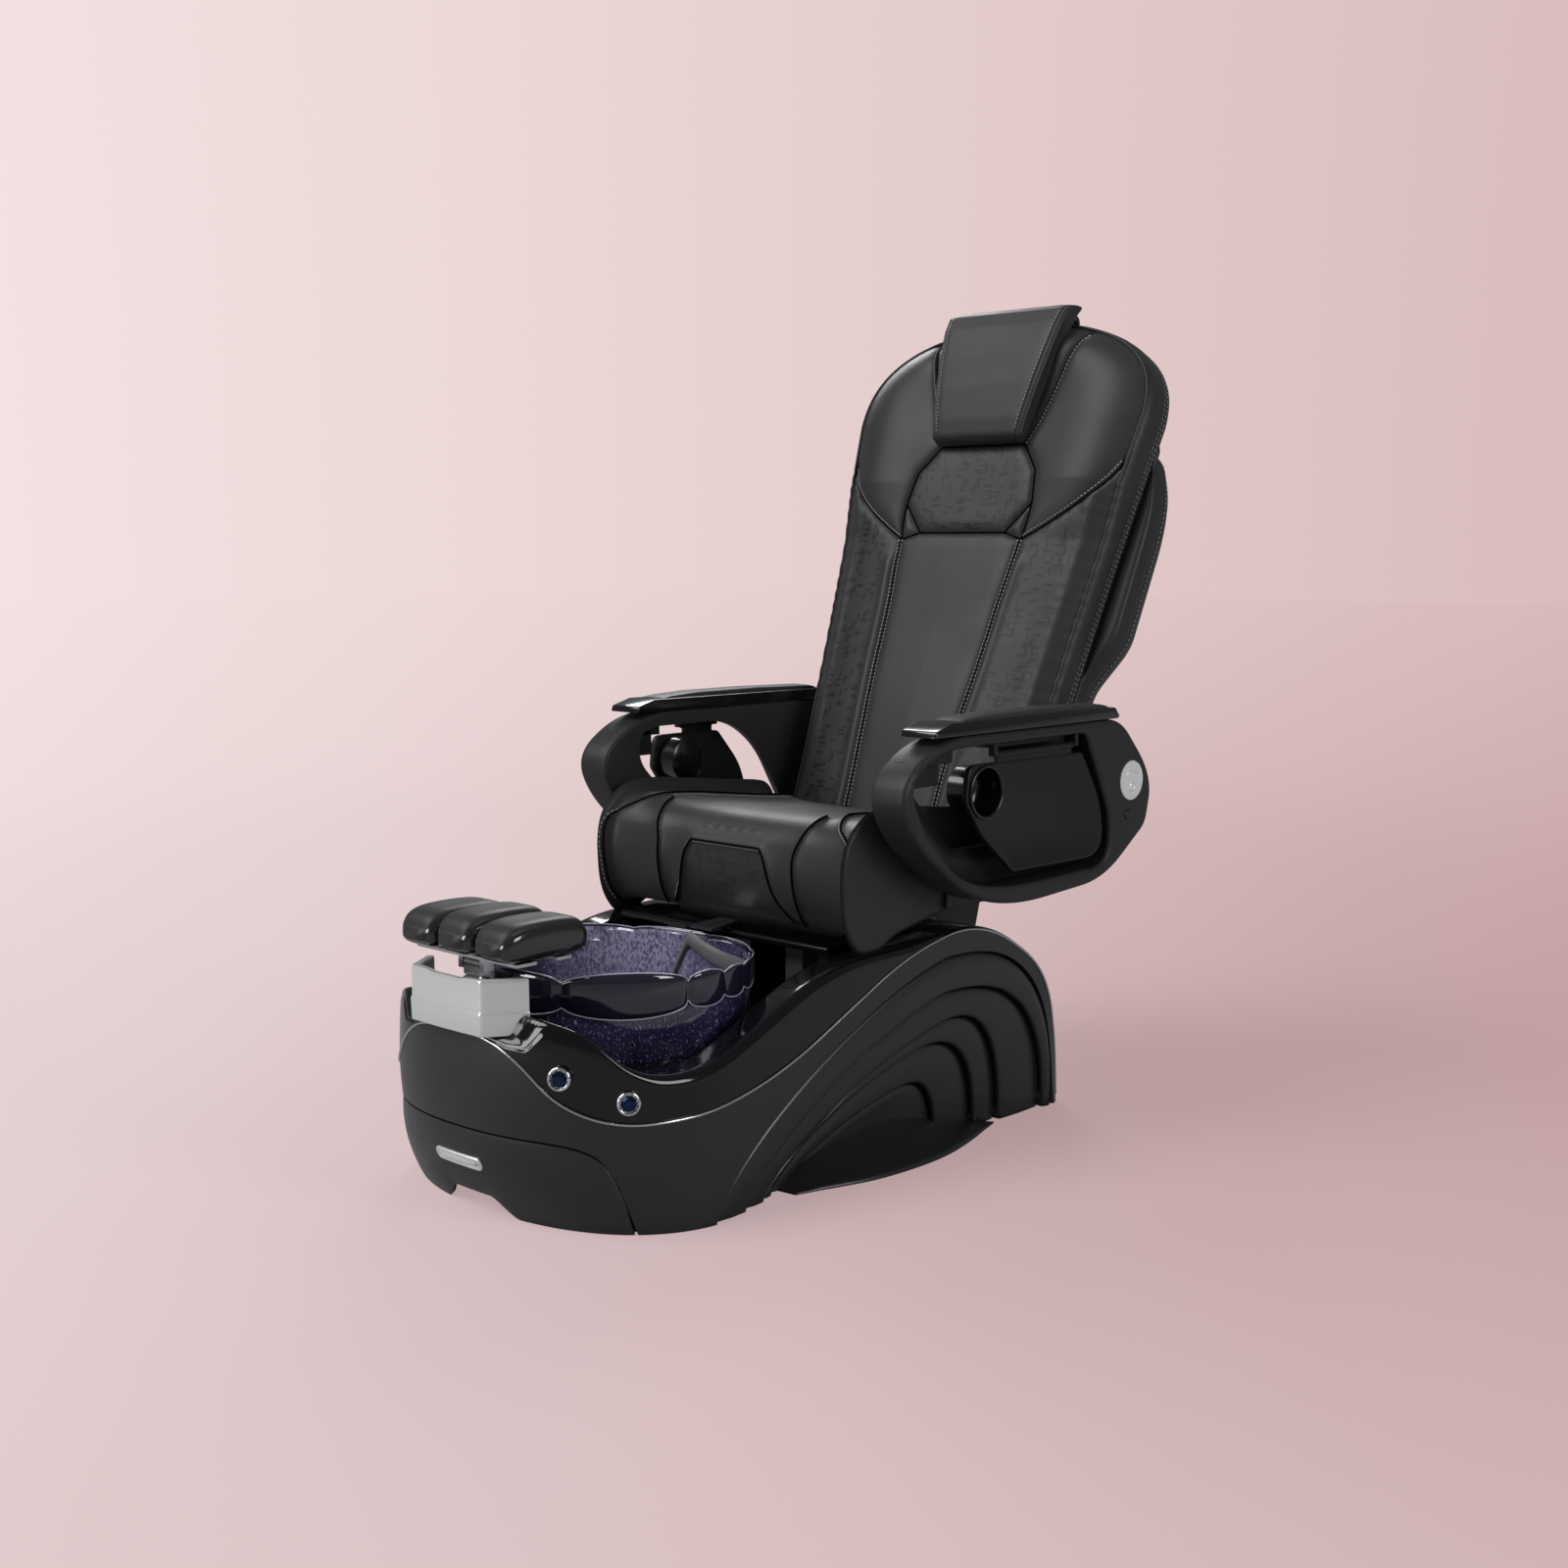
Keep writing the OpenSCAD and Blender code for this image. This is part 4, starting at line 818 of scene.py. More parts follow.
def arch_line(k, inset=0.0):
    """Outline of arch k as [y, z] points, front foot to rear foot, at the same angles for every arch."""
    front, crown, top, rear = ARCHES[k]
    a = np.radians(np.linspace(0, 90, 56))
    f = np.stack([np.cos(a) ** (2 / ARCH_N[0]), np.sin(a) ** (2 / ARCH_N[0])], axis=1)
    r = np.stack([np.sin(a) ** (2 / ARCH_N[1]), np.cos(a) ** (2 / ARCH_N[1])], axis=1)[1:]
    f[0, 1] = r[-1, 1] = 0
    rise = np.stack([crown - (crown - front - 1.6 * inset) * f[:, 0], (top - inset) * f[:, 1]], axis=1)
    fall = np.stack([crown + (rear - crown - inset) * r[:, 0], (top - inset) * r[:, 1]], axis=1)
    return np.vstack([rise, fall])


GROOVE = 9.0
# A band's outer and inner edge, as (distance from that edge, out)
BAND_PROFILE = [(0.0, -GROOVE), (1.2, -GROOVE), (3.2, -3.5), (6.0, -0.6), (11.0, 0.6)]
BAND_EDGE = [(-9.0, 0.8), (-5.0, 0.6), (-2.2, -0.6), (-0.7, -2.6), (-0.1, -5.0)]


BAND_CROWN = 2.6
BANDS = len(ARCHES) - 1
# The innermost field, as (share of the way to its hub, out)
HUB_ROWS = [(0.0, -GROOVE), (0.012, -GROOVE), (0.03, -2), (0.06, 0), (0.2, -2), (0.5, -5), (0.8, -6.5),
            (0.985, -7)]
HUB_BACK = 40.0    # the hub lies this far in front of the innermost arch's crown


def arch_face(k):
    """Distance of arch k's face from the middle of the chair."""
    return BASE_HALF_W - 3 - ARCH_STEP * k


def arch_skin(side, word):
    """Stepped arches: each band has a groove along its outer edge, a soft crown and a rounded inner edge."""
    rows = []
    for k in range(BANDS):
        outer, inner = arch_line(k, 1.2 if k == 0 else 0), arch_line(k + 1)
        width = np.maximum(np.linalg.norm(outer - inner, axis=1), 16)[:, None]
        rows += [at_x(arch_face(k) + out, mix(outer, inner, d / width)) for d, out in BAND_PROFILE]
        rows.append(at_x(arch_face(k) + BAND_CROWN, mix(outer, inner, 0.5)))
        rows += [at_x(arch_face(k) + out, mix(outer, inner, 1 + d / width)) for d, out in BAND_EDGE]
    hub = np.array([ARCHES[BANDS][1] - HUB_BACK, 0.0])
    rows += [at_x(arch_face(BANDS) + out, mix(arch_line(BANDS), hub, share)) for share, out in HUB_ROWS]
    obj = surface(f"side_panel_{word}_skin", np.array(rows) * [side, 1, 1], "base", "satin",
                  [f"side_panel_{word}"], core=(0, 0, 120))
    thicken(obj, 3)


BLADE_ROOT_X = 264.0
# The blade's ridge as [y, z], and its edge on the floor as [x, y]
BLADE_RIDGE = [[-352, 0], [-270, 24], [-190, 41], [-125, 46], [-60, 46], [0, 38], [60, 26], [160, 0]]
BLADE_EDGE = [[325, -345], [352, -270], [374, -190], [382, -90], [376, 0], [352, 100], [318, 200]]


def side_blade(side, word):
    """Blade at the panel's foot: it falls from a ridge inside the panel to an edge on the floor."""
    ridge, edge = resample(spline(BLADE_RIDGE), 6.0), spline(BLADE_EDGE)
    s, e = lengths(ridge) / lengths(ridge)[-1], lengths(edge) / lengths(edge)[-1]
    foot = np.stack([np.interp(s, e, edge[:, k]) for k in (0, 1)], axis=1)
    start = at_x(BLADE_ROOT_X, ridge)
    end = np.column_stack([foot, np.full(len(foot), 0.0)])
    t = np.linspace(0, 1, 16)[:, None, None]
    blade = start + (end - start) * t
    blade[:, :, 2] = start[:, 2] * (1 - t[:, :, 0]) ** 1.7 + 5.0 * smooth(s * 8) * smooth((1 - s) * 8)
    blade[-3:, :, 2] *= np.array([1, 0.72, 0])[:, None]
    blade[:, :, 2] += 3.0
    obj = surface(f"side_blade_{word}", blade * [side, 1, 1], "base", "satin",
                  core=(0, -100, -300))
    thicken(obj, 3)


def arch_shade_cords(side, word):
    """Near-black cords in the grooves between the bands, as painted shade in the grooves."""
    shade_cords = []
    for k in range(1, BANDS + 1):
        line = resample(arch_line(k, 1.0)[2:-2], 6.0)
        shade_cords.append(tube_grid(at_x(arch_face(k) + 2.5, line), 2.4, 7) * [side, 1, 1])
    solid(f"side_panel_{word}_joints", shade_cords, "base", "painted_shade_cord")


def side_panel(side, word):
    """One side panel, with its blade and the cords of painted shade in its grooves."""
    arch_skin(side, word)
    side_blade(side, word)
    arch_shade_cords(side, word)


def trim_beads():
    """Bright bead in the joint of the satin and gloss covers, on both sides of the chair."""
    cols = plan_columns(4.0)
    z = crossing(cols, along(TRIM))
    shown = (z < CAP_LOW - 1) | (base_point(cols, z)[:, 1] > -600)   # the cap hides the joint at the nose
    keep = shown & (z > 3)
    line = resample(base_point(cols, z, -0.6)[keep], 5.0)
    grids = [tube_grid(line * [s, 1, 1], 2.3, 8) for s in (1, -1)]
    solid("trim_beads", grids, "base", "bead", ["trim_strips"])


CAP_LOW, CAP_HIGH, CAP_DIP = 307.0, 396.0, 4.0
CAP_SECTION = [(0.00, 0.0), (0.03, 0.4), (0.40, 0.9), (0.44, 0.1), (0.47, 0.0), (0.93, -0.35), (0.98, -0.5)]
CAP_INSIDE = [(0.12, 0.0), (0.9, 0.0), (1.0, 3.0), (1.0, 80.0)]   # (share of the way to the inner path, drop)
CAP_HALF = [(0, -800.5), (34, -800), (52, -799.5), (86, -798.5), (90, -796), (109, -767), (130, -736)]
CAP_HALF_INNER = [(0, -785), (34, -785), (52, -785), (79, -784), (82, -781), (98, -757), (116, -731)]


def cap_top(x):
    """Height of the cap's top edge, with its dip in the middle."""
    return CAP_HIGH - CAP_DIP * float(smooth((60 - abs(x)) / 26))


def nose_cap():
    """Bright cap over the nose: two zones in front, facets at its corners, and a dip in its top edge."""
    path, inner = ([(-x, y) for x, y in half[:0:-1]] + half for half in (CAP_HALF, CAP_HALF_INNER))
    rows = []
    for share, out in CAP_SECTION:
        row = []
        for (x, y), (ix, iy) in zip(path, inner):
            d = np.array([x - ix, y - iy]) / math.hypot(x - ix, y - iy)
            px, py = np.array([x, y]) + d * out * 2.5
            row.append((px, py, mix(CAP_LOW, cap_top(x), share)))
        rows.append(row)
    for share, sink in CAP_INSIDE:
        rows.append([(mix(x, ix, share), mix(y, iy, share), max(CAP_LOW, cap_top(x) - sink))
                     for (x, y), (ix, iy) in zip(path, inner)])
    grid = np.array(rows).transpose(1, 0, 2)
    obj = solid("nose_cap_face", grid, "base", "cap", ["nose_cap"], sharp=20)
    soften(obj, 1.2, 2, 24)


# ---------------------------------------------------------------- bowl, knobs and footrest

# The valleys between the rim's petals, in degrees, and each petal's size
VALLEYS = np.array([-100, -62, -12, 7, 23, 38, 53, 90, 128, 168, 214, 260.0])
PETAL_SIZES = np.array([0.9, 1.0, 0.66, 0.52, 0.46, 0.42, 0.5, 0.5, 0.55, 0.8, 0.85])
BOWL_FLOOR = 150.0
GLASS_T = 7.0
COLLAR_SHARE = 0.965      # the collar's middle, as a share of the rim's half sizes
VALLEY_IN = 4.0           # the collar draws in this far in its valleys
# The wall, as (share of the rim's half sizes, height)
BOWL_WALL = [(0.46, 150), (0.66, 160), (0.74, 174), (0.80, 194), (0.85, 220), (0.89, 246), (0.92, 272),
             (0.94, 296)]


def petal(a):
    """Up to 1 along the middle of each of the rim's petals, and 0 in the valleys between them."""
    at = (np.degrees(a) - VALLEYS[0]) % 360 + VALLEYS[0]
    k = np.clip(np.searchsorted(VALLEYS, at, side="right") - 1, 0, len(PETAL_SIZES) - 1)
    t = (at - VALLEYS[k]) / (VALLEYS[k + 1] - VALLEYS[k])
    return PETAL_SIZES[k] * np.sin(math.pi * np.clip(t, 0, 1)) ** 0.4


def rim_height(a):
    """Height of the bowl's rim, calmer under the seat."""
    calm = 1 - 0.75 * bump(np.degrees(a), 90, 55)
    return 367.0 + 22.0 * petal(a) * calm


def bowl_ring(a, share, z, grow=0.0):
    """One ring of the bowl. Share, z and grow are numbers, or one for each angle."""
    r = np.stack([BOWL_A * share * np.cos(a), BOWL_B * share * np.sin(a)], axis=1)
    out = r / np.linalg.norm(r, axis=1, keepdims=True) * np.reshape(grow, (-1, 1))
    return np.column_stack([r + out + [0, BOWL_Y], np.broadcast_to(z, len(a))])


def bowl():
    """Ruffled glass bowl: a speckled wall under a collar of uneven petals, with pale tubes along its edges as
    painted highlights.
    """
    a = np.radians(np.arange(0, 360, 1.2))
    p = petal(a)
    foot = 316.0 + 22.0 * (1 - p)
    rim = rim_height(a)
    wall = [bowl_ring(a, share, z) for share, z in BOWL_WALL] + [bowl_ring(a, 0.946, foot + 2)]
    inside_wall = [(BOWL_WALL[0][0], BOWL_FLOOR + GLASS_T)] + BOWL_WALL[1:] + [(0.955, 330)]
    inner = [bowl_ring(a, share, z, -GLASS_T) for share, z in inside_wall]
    over = [bowl_ring(a, 0.97, mix(330, rim, t), -GLASS_T - 2 * (1 - p)) for t in (0.4, 0.8, 0.97)]
    solid("glass_bowl_wall", np.array(wall + [bowl_ring(a, 0.95, foot + 8, -3)] + over[::-1] + inner[::-1]),
          "base", "glass", ["glass_bowl"])
    collar = []
    for t, out in ((0, -6), (0, 1.0), (0.04, 3.2), (0.15, 5.6), (0.35, 7.2), (0.6, 7.0), (0.8, 5.5),
                   (0.93, 4.4), (1.0, 2.0), (1.0, -3.0), (0.93, -5.0)):
        collar.append(bowl_ring(a, COLLAR_SHARE, mix(foot, rim + 1.5, t),
                                (out + 0.5) * p - VALLEY_IN * (1 - p)))
    surface("glass_bowl_collar", np.array(collar), "base", "collar", close_cols=True)
    # painted highlights: pale tubes along the rim and the collar's foot
    for name, z, out in (("rim", rim + 1.5, 1.0), ("foot", foot + 0.5, 2.6)):
        line = bowl_ring(a, COLLAR_SHARE, z, out * p - VALLEY_IN * (1 - p))
        surface(f"glass_bowl_{name}_edge", tube_grid(line, 1.5, 7, True), "base", "edge",
                close_rows=True, close_cols=True)


def wave_piece():
    """Smooth grey glass wave laid on the inside of the bowl's rear wall."""
    line = spline([(112, 262), (109, 286), (104, 336), (101, 357), (98, 353), (90, 339), (80, 331), (68, 331),
                   (57, 333), (50, 339), (47, 345)], 7)
    width = np.interp(np.arange(len(line)) / (len(line) - 1), [0, 0.2, 0.45, 0.8, 1], [7, 12, 16, 17, 9])
    a = np.radians(line[:, 0])
    rows = []
    for u, sink in ((-1, 2.0), (-0.8, -1.5), (-0.3, -3.0), (0.3, -3.0), (0.8, -1.5), (1, 2.0)):
        share = np.interp(line[:, 1] + u * width, [150, 296, 340, 376], [0.60, 0.94, 0.965, 0.975])
        rows.append(bowl_ring(a, share, line[:, 1] + u * width, -GLASS_T - 5 + sink))
    surface("glass_bowl_wave", np.array(rows), "base", "wave", core=(0, 100, 300))


KNOBS = (("jet_knob", "jet_control", (205, -740, 254), -57),
         ("water_knob", "water_control", (278, -668, 215), -35))
KNOB_R = 19.0
KNOB_LEAN = 86.0
TICKS, TICK_W, TICK_L, TICK_AT = 12, 1.2, 3.0, 13.4   # bars round a knob's gem, and how far out they start


def along_axis(points, at, turn):
    """Points (across, across, along) set on a knob's axis."""
    lean, t = math.radians(KNOB_LEAN), math.radians(turn)
    d = np.array([math.sin(lean) * math.cos(t), math.sin(lean) * math.sin(t), math.cos(lean)])
    u = np.array([math.cos(lean) * math.cos(t), math.cos(lean) * math.sin(t), -math.sin(lean)])
    v = np.cross(d, u)
    p = np.asarray(points)
    return p[..., :1] * u + p[..., 1:2] * v + p[..., 2:] * d + at


def knob_ticks(at, turn):
    """Raised bars round a knob's gem."""
    half, end = TICK_W / 2, TICK_AT + TICK_L
    bar = np.array([[-half, TICK_AT, 0], [half, TICK_AT, 0], [half, end, 0], [-half, end, 0]])
    bars = []
    for k in range(TICKS):
        t = k * 2 * math.pi / TICKS
        turned = bar @ np.array([[math.cos(t), math.sin(t), 0], [-math.sin(t), math.cos(t), 0], [0, 0, 1]])
        bars.append(along_axis(np.array([turned + [0, 0, 9.4], turned + [0, 0, 11.4]]), at, turn))
    return bars


def knobs():
    """Chrome bezels round faceted glass gems."""
    bezel = [(9, -38), (9, 1.5), (KNOB_R - 1, 2), (KNOB_R, 3), (KNOB_R, 7.5), (KNOB_R - 0.8, 9.6),
             (KNOB_R - 2.4, 10.8), (KNOB_R - 4, 10.6), (KNOB_R - 5, 9.6), (KNOB_R - 5.4, 7.5), (1, 7.5)]
    gem = [(KNOB_R - 5.6, 7.6), (KNOB_R - 6.4, 10.5), (KNOB_R - 9.5, 13.0), (KNOB_R - 13, 13.9), (0.3, 14.0)]
    for name, body, at, turn in KNOBS:
        solid(f"{name}_bezel", along_axis(lathe(bezel, 48), at, turn), body, "chrome", [name],
              sharp=50)
        solid(f"{name}_gem", along_axis(lathe(gem, 9), at, turn), body, "gem", sharp=5)
        solid(f"{name}_ticks", knob_ticks(at, turn), body, "chrome", sharp=30)


FOOT_Y0, FOOT_L, FOOT_W = -786.0, 172.0, 92.0
FOOT_Z = 419.7
PADS = [("left", 93.5, 60), ("middle", 0, 64), ("right", -93.5, 60)]   # (name, place across, height)


def foot_pad(word, x, h):
    """One lobe of the footrest: a dished leather top with a seam round it, over glossy sides."""
    t = 0.5 - 0.5 * np.cos(np.linspace(0, math.pi, 44))
    a = np.radians(np.arange(0, 360, 6) + 3.0)
    tt, aa = np.meshgrid(t, a, indexing="ij")
    e = (1 - np.abs(2 * tt - 1) ** 5) ** 0.32
    tip = np.maximum(e, 0.34)
    px = np.abs(np.sin(aa)) ** (2 / 3.8) * np.sign(np.sin(aa))
    py = np.abs(np.cos(aa)) ** (2 / 3.4)
    up = np.cos(aa) >= 0
    arc = np.sin(math.pi * tt)
    seam = 1 - 0.055 * bump(np.abs(np.degrees(np.arctan2(np.sin(aa), np.cos(aa)))), 57, 4.5)
    across = FOOT_W / 2 * (0.5 + 0.5 * tip) * px * seam
    z = FOOT_Z + h * (0.34 + np.where(up, 0.66, -0.34) * py * tip * seam) + 10 * arc * np.where(up, 1, 1 - py)
    z = z - np.where(up, 7.0 * (1 - px ** 2) * arc ** 1.5, 0)
    grid = np.stack([x + across, FOOT_Y0 + FOOT_L * tt, z], axis=2)
    name = f"footrest_pad_{word}"
    obj = solid(f"{name}_lobe", grid, "footrest_head", "leather", [name])
    obj.data.materials.append(look["patent"])
    sides = np.abs(np.degrees(np.arctan2(np.sin(a), np.cos(a)))) > 54
    for face in obj.data.polygons:
        if face.index < (len(t) - 1) * len(a) and sides[face.index % len(a)]:
            face.material_index = 1


def footrest():
    """The footrest's three lobes."""
    for word, x, h in PADS:
        foot_pad(word, x, h)


# ---------------------------------------------------------------- seat

SEAT_HALF_W = 304.0
SEAT_OUTLINE = [(-150, 396), (-172, 428), (-184, 468), (-186, 512), (-176, 552), (-150, 580), (-112, 592),
                (-50, 590), (40, 580), (130, 570), (210, 562), (238, 552), (250, 520), (250, 470), (240, 446),
                (160, 444.5), (76, 444.5), (0, 434), (-80, 420), (-128, 398)]
SEAT_STEP = 3.6
SEAT_SIDE = resample(spline(SEAT_OUTLINE, 8, True), SEAT_STEP, True)
SEAT_NORMAL = -normals_2d(SEAT_SIDE)
SEAT_S = lengths(np.vstack([SEAT_SIDE, SEAT_SIDE[:1]]))[:-1]
SEAT_END_R = 24.0


def seat_s(y, z):
    """Distance round the seat's side outline of the point nearest to (y, z)."""
    return SEAT_S[np.argmin(np.hypot(SEAT_SIDE[:, 0] - y, SEAT_SIDE[:, 1] - z))]


SEAT_SEAMS_3D = [
    [(-85, -188, 532), (85, -188, 532)],
    [(85, -188, 532), (100, -187, 506), (118, -180, 449), (150, -155, 405)],
    [(192, -120, 592), (186, -150, 580), (177, -176, 552), (170, -184, 532), (168, -186, 512),
     (169, -183, 464), (171, -172, 428), (174, -150, 400)],
    [(222, -100, 592), (250, -150, 580), (284, -170, 560), (297, -178, 545), (299, -186, 508),
     (298, -183, 460), (297, -172, 428), (294, -150, 400)],
    [(222, -100, 592), (214, 20, 582), (206, 130, 570), (200, 210, 562)],
]


def seat_seams():
    """The seat's seams, on both sides, as lines of [across, round the outline]."""
    lines = []
    for seam in SEAT_SEAMS_3D:
        line = [(x, seat_s(y, z)) for x, y, z in seam]
        line = spline(line, 6) if len(line) > 2 else resample(line, 12)
        lines.append(line)
        if seam[0][0] != -seam[1][0]:
            lines.append(line * [-1, 1])
    return lines


SEAT_SEAMS = seat_seams()
PUCKERS_X, PUCKERS_AT = (-60, -30, 0, 30, 60), (-172, 560)   # small dents over the front flap


def round_seat(values, s):
    """Values given along the seat's side outline, at the distances s round it."""
    at = np.append(SEAT_S, SEAT_S[-1] + SEAT_STEP)
    return np.stack([np.interp(s, at, np.append(values[:, k], values[0, k])) for k in (0, 1)], axis=-1)


def seat_surface(x, s):
    """Points of the seat's skin at x across and s round its side outline."""
    side, normal = round_seat(SEAT_SIDE, s), round_seat(SEAT_NORMAL, s)
    u = np.abs(x) / SEAT_HALF_W
    end_r = SEAT_END_R + 8.0 * smooth((490 - side[..., 1]) / 80)   # the lower corners are rounder
    near = np.clip((np.abs(x) - (SEAT_HALF_W - end_r)) / end_r, 0, 1)
    inset = end_r * (1 - np.sqrt(1 - near ** 2))
    shown = np.clip(smooth((side[..., 1] - 520) / 40) + smooth((-130 - side[..., 0]) / 30), 0, 1)
    d = seam_distance(np.stack([x.ravel(), s.ravel()], axis=1), SEAT_SEAMS).reshape(x.shape)
    out = 9 * (1 - u ** 2.5) * shown - inset
    out = out + shown * (5.0 * (1 - np.exp(-d / 15.0)) - 4.0 - 3.2 * np.exp(-(d / 3.2) ** 2))
    for at in PUCKERS_X:
        out = out - 1.6 * np.exp(-((x - at) / 7) ** 2 - ((s - seat_s(*PUCKERS_AT)) / 3) ** 2)
    point = side + normal * out[..., None]
    return np.stack([x, point[..., 0], point[..., 1]], axis=-1)


def seam_shade_cords(name, lines, lift, radius, body):
    """Near-black cord along each seam, as painted shade in the seam's groove. lift turns a seam's 2-D points
    into points of the surface.
    """
    grids = [tube_grid(lift(resample(line, 5.0)), radius, 7) for line in lines]
    solid(name, grids, body, "painted_shade_cord")


STITCH_PITCH = 8


def stitches(name, lines, lift, body, length=5, radius=0.8):
    """Short raised stitches along lines, as one piece."""
    grids = []
    for line in lines:
        fine = lift(resample(line, 1.0))
        for k in range(2, len(fine) - length - 2, STITCH_PITCH):
            grids.append(tube_grid(fine[k:k + length + 1], radius, 6))
    solid(name, grids, body, "thread")


def border_stitches(name, paths, radius):
    """Stitches of two steps, four steps apart, along paths round the backrest."""
    rows = []
    for path in paths:
        rows += [tube_grid(path[k:k + 3], radius, 6) for k in range(0, len(path) - 3, 4)]
    solid(name, rows, "backrest", "thread")


def beside(line, distance):
    """A line moved sideways by a distance."""
    line = resample(line, 6.0)
    return line + normals_2d(line, closed=False) * distance


SEAT_DOME, SEAT_DOME_OUT = (0.03, 0.3, 0.55, 0.78, 0.93), 5.0   # the domed ends' rings, and their rise
FLAP_TOP, FLAP_FOOT = (-188, 532), (-155, 400)   # the embossed front flap reaches between these
FLAP_HALF_W, FLAP_FLARE = 85, 65                 # and widens by the flare
SEAT_EMBOSS = 0.45


def seat_emboss(x, s):
    """Share of embossing on the seat: on the flap at its front, which widens downward."""
    top, foot = seat_s(*FLAP_TOP), seat_s(*FLAP_FOOT)
    share = np.clip((s - top) / (foot - top), 0, 1)
    within = FLAP_HALF_W + FLAP_FLARE * share ** 1.3 - np.abs(x)
    return SEAT_EMBOSS * smooth((within - 3) / 6) * (share > 0.01) * (share < 1)


def seat_end(ring, side):
    """Rings that dome the seat's end, from the ring inward."""
    middle = ring.mean(axis=0)
    return np.array([middle + (ring - middle) * r + [side * SEAT_DOME_OUT * (1 - r ** 2), 0, 0]
                     for r in SEAT_DOME])


def on_seat(line, out=0.0):
    """Points of the seat's skin under a line, lifted out of it."""
    return seat_surface(line[:, 0], line[:, 1]) + [0, -out, out]


def seat():
    """Leather seat cushion, with its seams and stitches."""
    turn = 1 - np.cos(np.linspace(0, math.pi / 2, 9))
    x = np.concatenate([-SEAT_HALF_W + SEAT_END_R * turn[:-1],
                        np.arange(-SEAT_HALF_W + SEAT_END_R, SEAT_HALF_W - SEAT_END_R, SEAT_STEP),
                        SEAT_HALF_W - SEAT_END_R * turn[::-1]])
    xx, ss = np.meshgrid(x, SEAT_S, indexing="ij")
    skin = seat_surface(xx, ss)
    skin = np.concatenate([seat_end(skin[0], -1), skin, seat_end(skin[-1], 1)[::-1]])
    obj = surface("seat_cushion_cover", skin, "seat", "leather", ["seat_cushion"],
                  close_cols=True, caps=True, weld_points=False)
    more = len(SEAT_DOME)
    set_emboss(obj, np.pad(seat_emboss(xx, ss), ((more, more), (0, 0))).ravel())
    weld(obj.data)
    seam_shade_cords("seat_seams", SEAT_SEAMS, on_seat, 1.9, "seat")
    stitches("seat_stitches", [beside(line, -4.5) for line in SEAT_SEAMS], lambda line: on_seat(line, 0.3),
             "seat")


# ---------------------------------------------------------------- backrest

BACK_Y, BACK_Z = 277.0, 515.0
BACK_LEAN = math.radians(21.8)
BACK_BASE_HALF, BACK_WING_HALF = 286.0, 360.0
BACK_TURN, BACK_TOP = 850.0, 1066.0     # the outline starts to turn over here, and ends here
BACK_T = 82.0
FRONT_IN = 12.0                         # the front face is drawn in this far from the outline
WING_V = 590.0


def on_back(x, w, v):
    """Points of the backrest: across, depth behind its front plane, and distance up its slope."""
    x, w, v = np.broadcast_arrays(x, w, v)
    s, c = math.sin(BACK_LEAN), math.cos(BACK_LEAN)
    return np.stack([x, BACK_Y + w * c + v * s, BACK_Z - w * s + v * c], axis=-1)


def back_outline(inset=0.0):
    """Half widths and heights of the backrest's rows, bottom to top, drawn in by an inset."""
    v = np.arange(0, BACK_TURN, 4.0)
    low = np.stack([mix(BACK_BASE_HALF, BACK_WING_HALF, (v / BACK_TURN) ** 1.35) - inset, v], axis=1)
    t = np.linspace(0, math.pi / 2, 84)
    high = np.stack([(BACK_WING_HALF - inset) * np.cos(t) ** (2 / 2.3),
                     BACK_TURN + (BACK_TOP - BACK_TURN - inset) * np.sin(t) ** 0.8], axis=1)
    high[-1, 0] = 0
    return np.vstack([low, high])


def edge_share(x, v):
    """0 in the middle of the front face and 1 along its edge."""
    half = mix(BACK_BASE_HALF, BACK_WING_HALF, (np.clip(v, 0, BACK_TURN) / BACK_TURN) ** 1.35) - FRONT_IN
    over = np.clip(v - BACK_TURN, 0, None) / (BACK_TOP - BACK_TURN - FRONT_IN)
    return np.clip((np.abs(x) / half) ** 2.3 + over ** 2.5, 0, 1) ** (1 / 2.3)


HEXAGON = [(-103, 790), (103, 790), (146, 733), (157, 665), (106, 604), (-106, 604), (-157, 665), (-146, 733),
           (-103, 790)]
WING_LINE = [(150, 590), (204, 622), (258, 660), (308, 708), (337, 757)]
CENTRE_LINE = [(150, 590), (144, 520), (136, 450), (128, 320), (117, 200), (110, 80), (108, 0)]
WING_INNER = [(103, 790), (124, 832), (143, 890), (165, 962), (186, 1028)]
HALF_SEAMS = [WING_INNER, [(157, 665), (155, 625), (150, 590)], [(106, 604), (150, 590)], WING_LINE,
              CENTRE_LINE]
HALF_LINES = [spline(seam, 5) if len(seam) > 2 else resample(seam, 8) for seam in HALF_SEAMS]
BACK_SEAMS = [resample(HEXAGON, 8)] + [line * [side, 1] for line in HALF_LINES for side in (1, -1)]
ROLL_W = 27.0    # width of the smooth roll beside each centre seam


def centre_seam(v):
    """Distance of the centre seams from the middle at height v."""
    line = np.array(CENTRE_LINE[::-1], float)
    return np.interp(v, line[:, 1], line[:, 0])


def wing_seam(x):
    """Height of the wings' lower seams at x across."""
    line = np.array(WING_LINE, float)
    return np.interp(x, line[:, 0], line[:, 1])


def inside(x, v, outline):
    """Whether points lie inside a closed outline."""
    found = np.zeros(x.shape, bool)
    for (ax, av), (bx, bv) in zip(outline[:-1], outline[1:]):
        if av != bv:
            found ^= ((av > v) != (bv > v)) & (x < (bx - ax) * (v - av) / (bv - av) + ax)
    return found


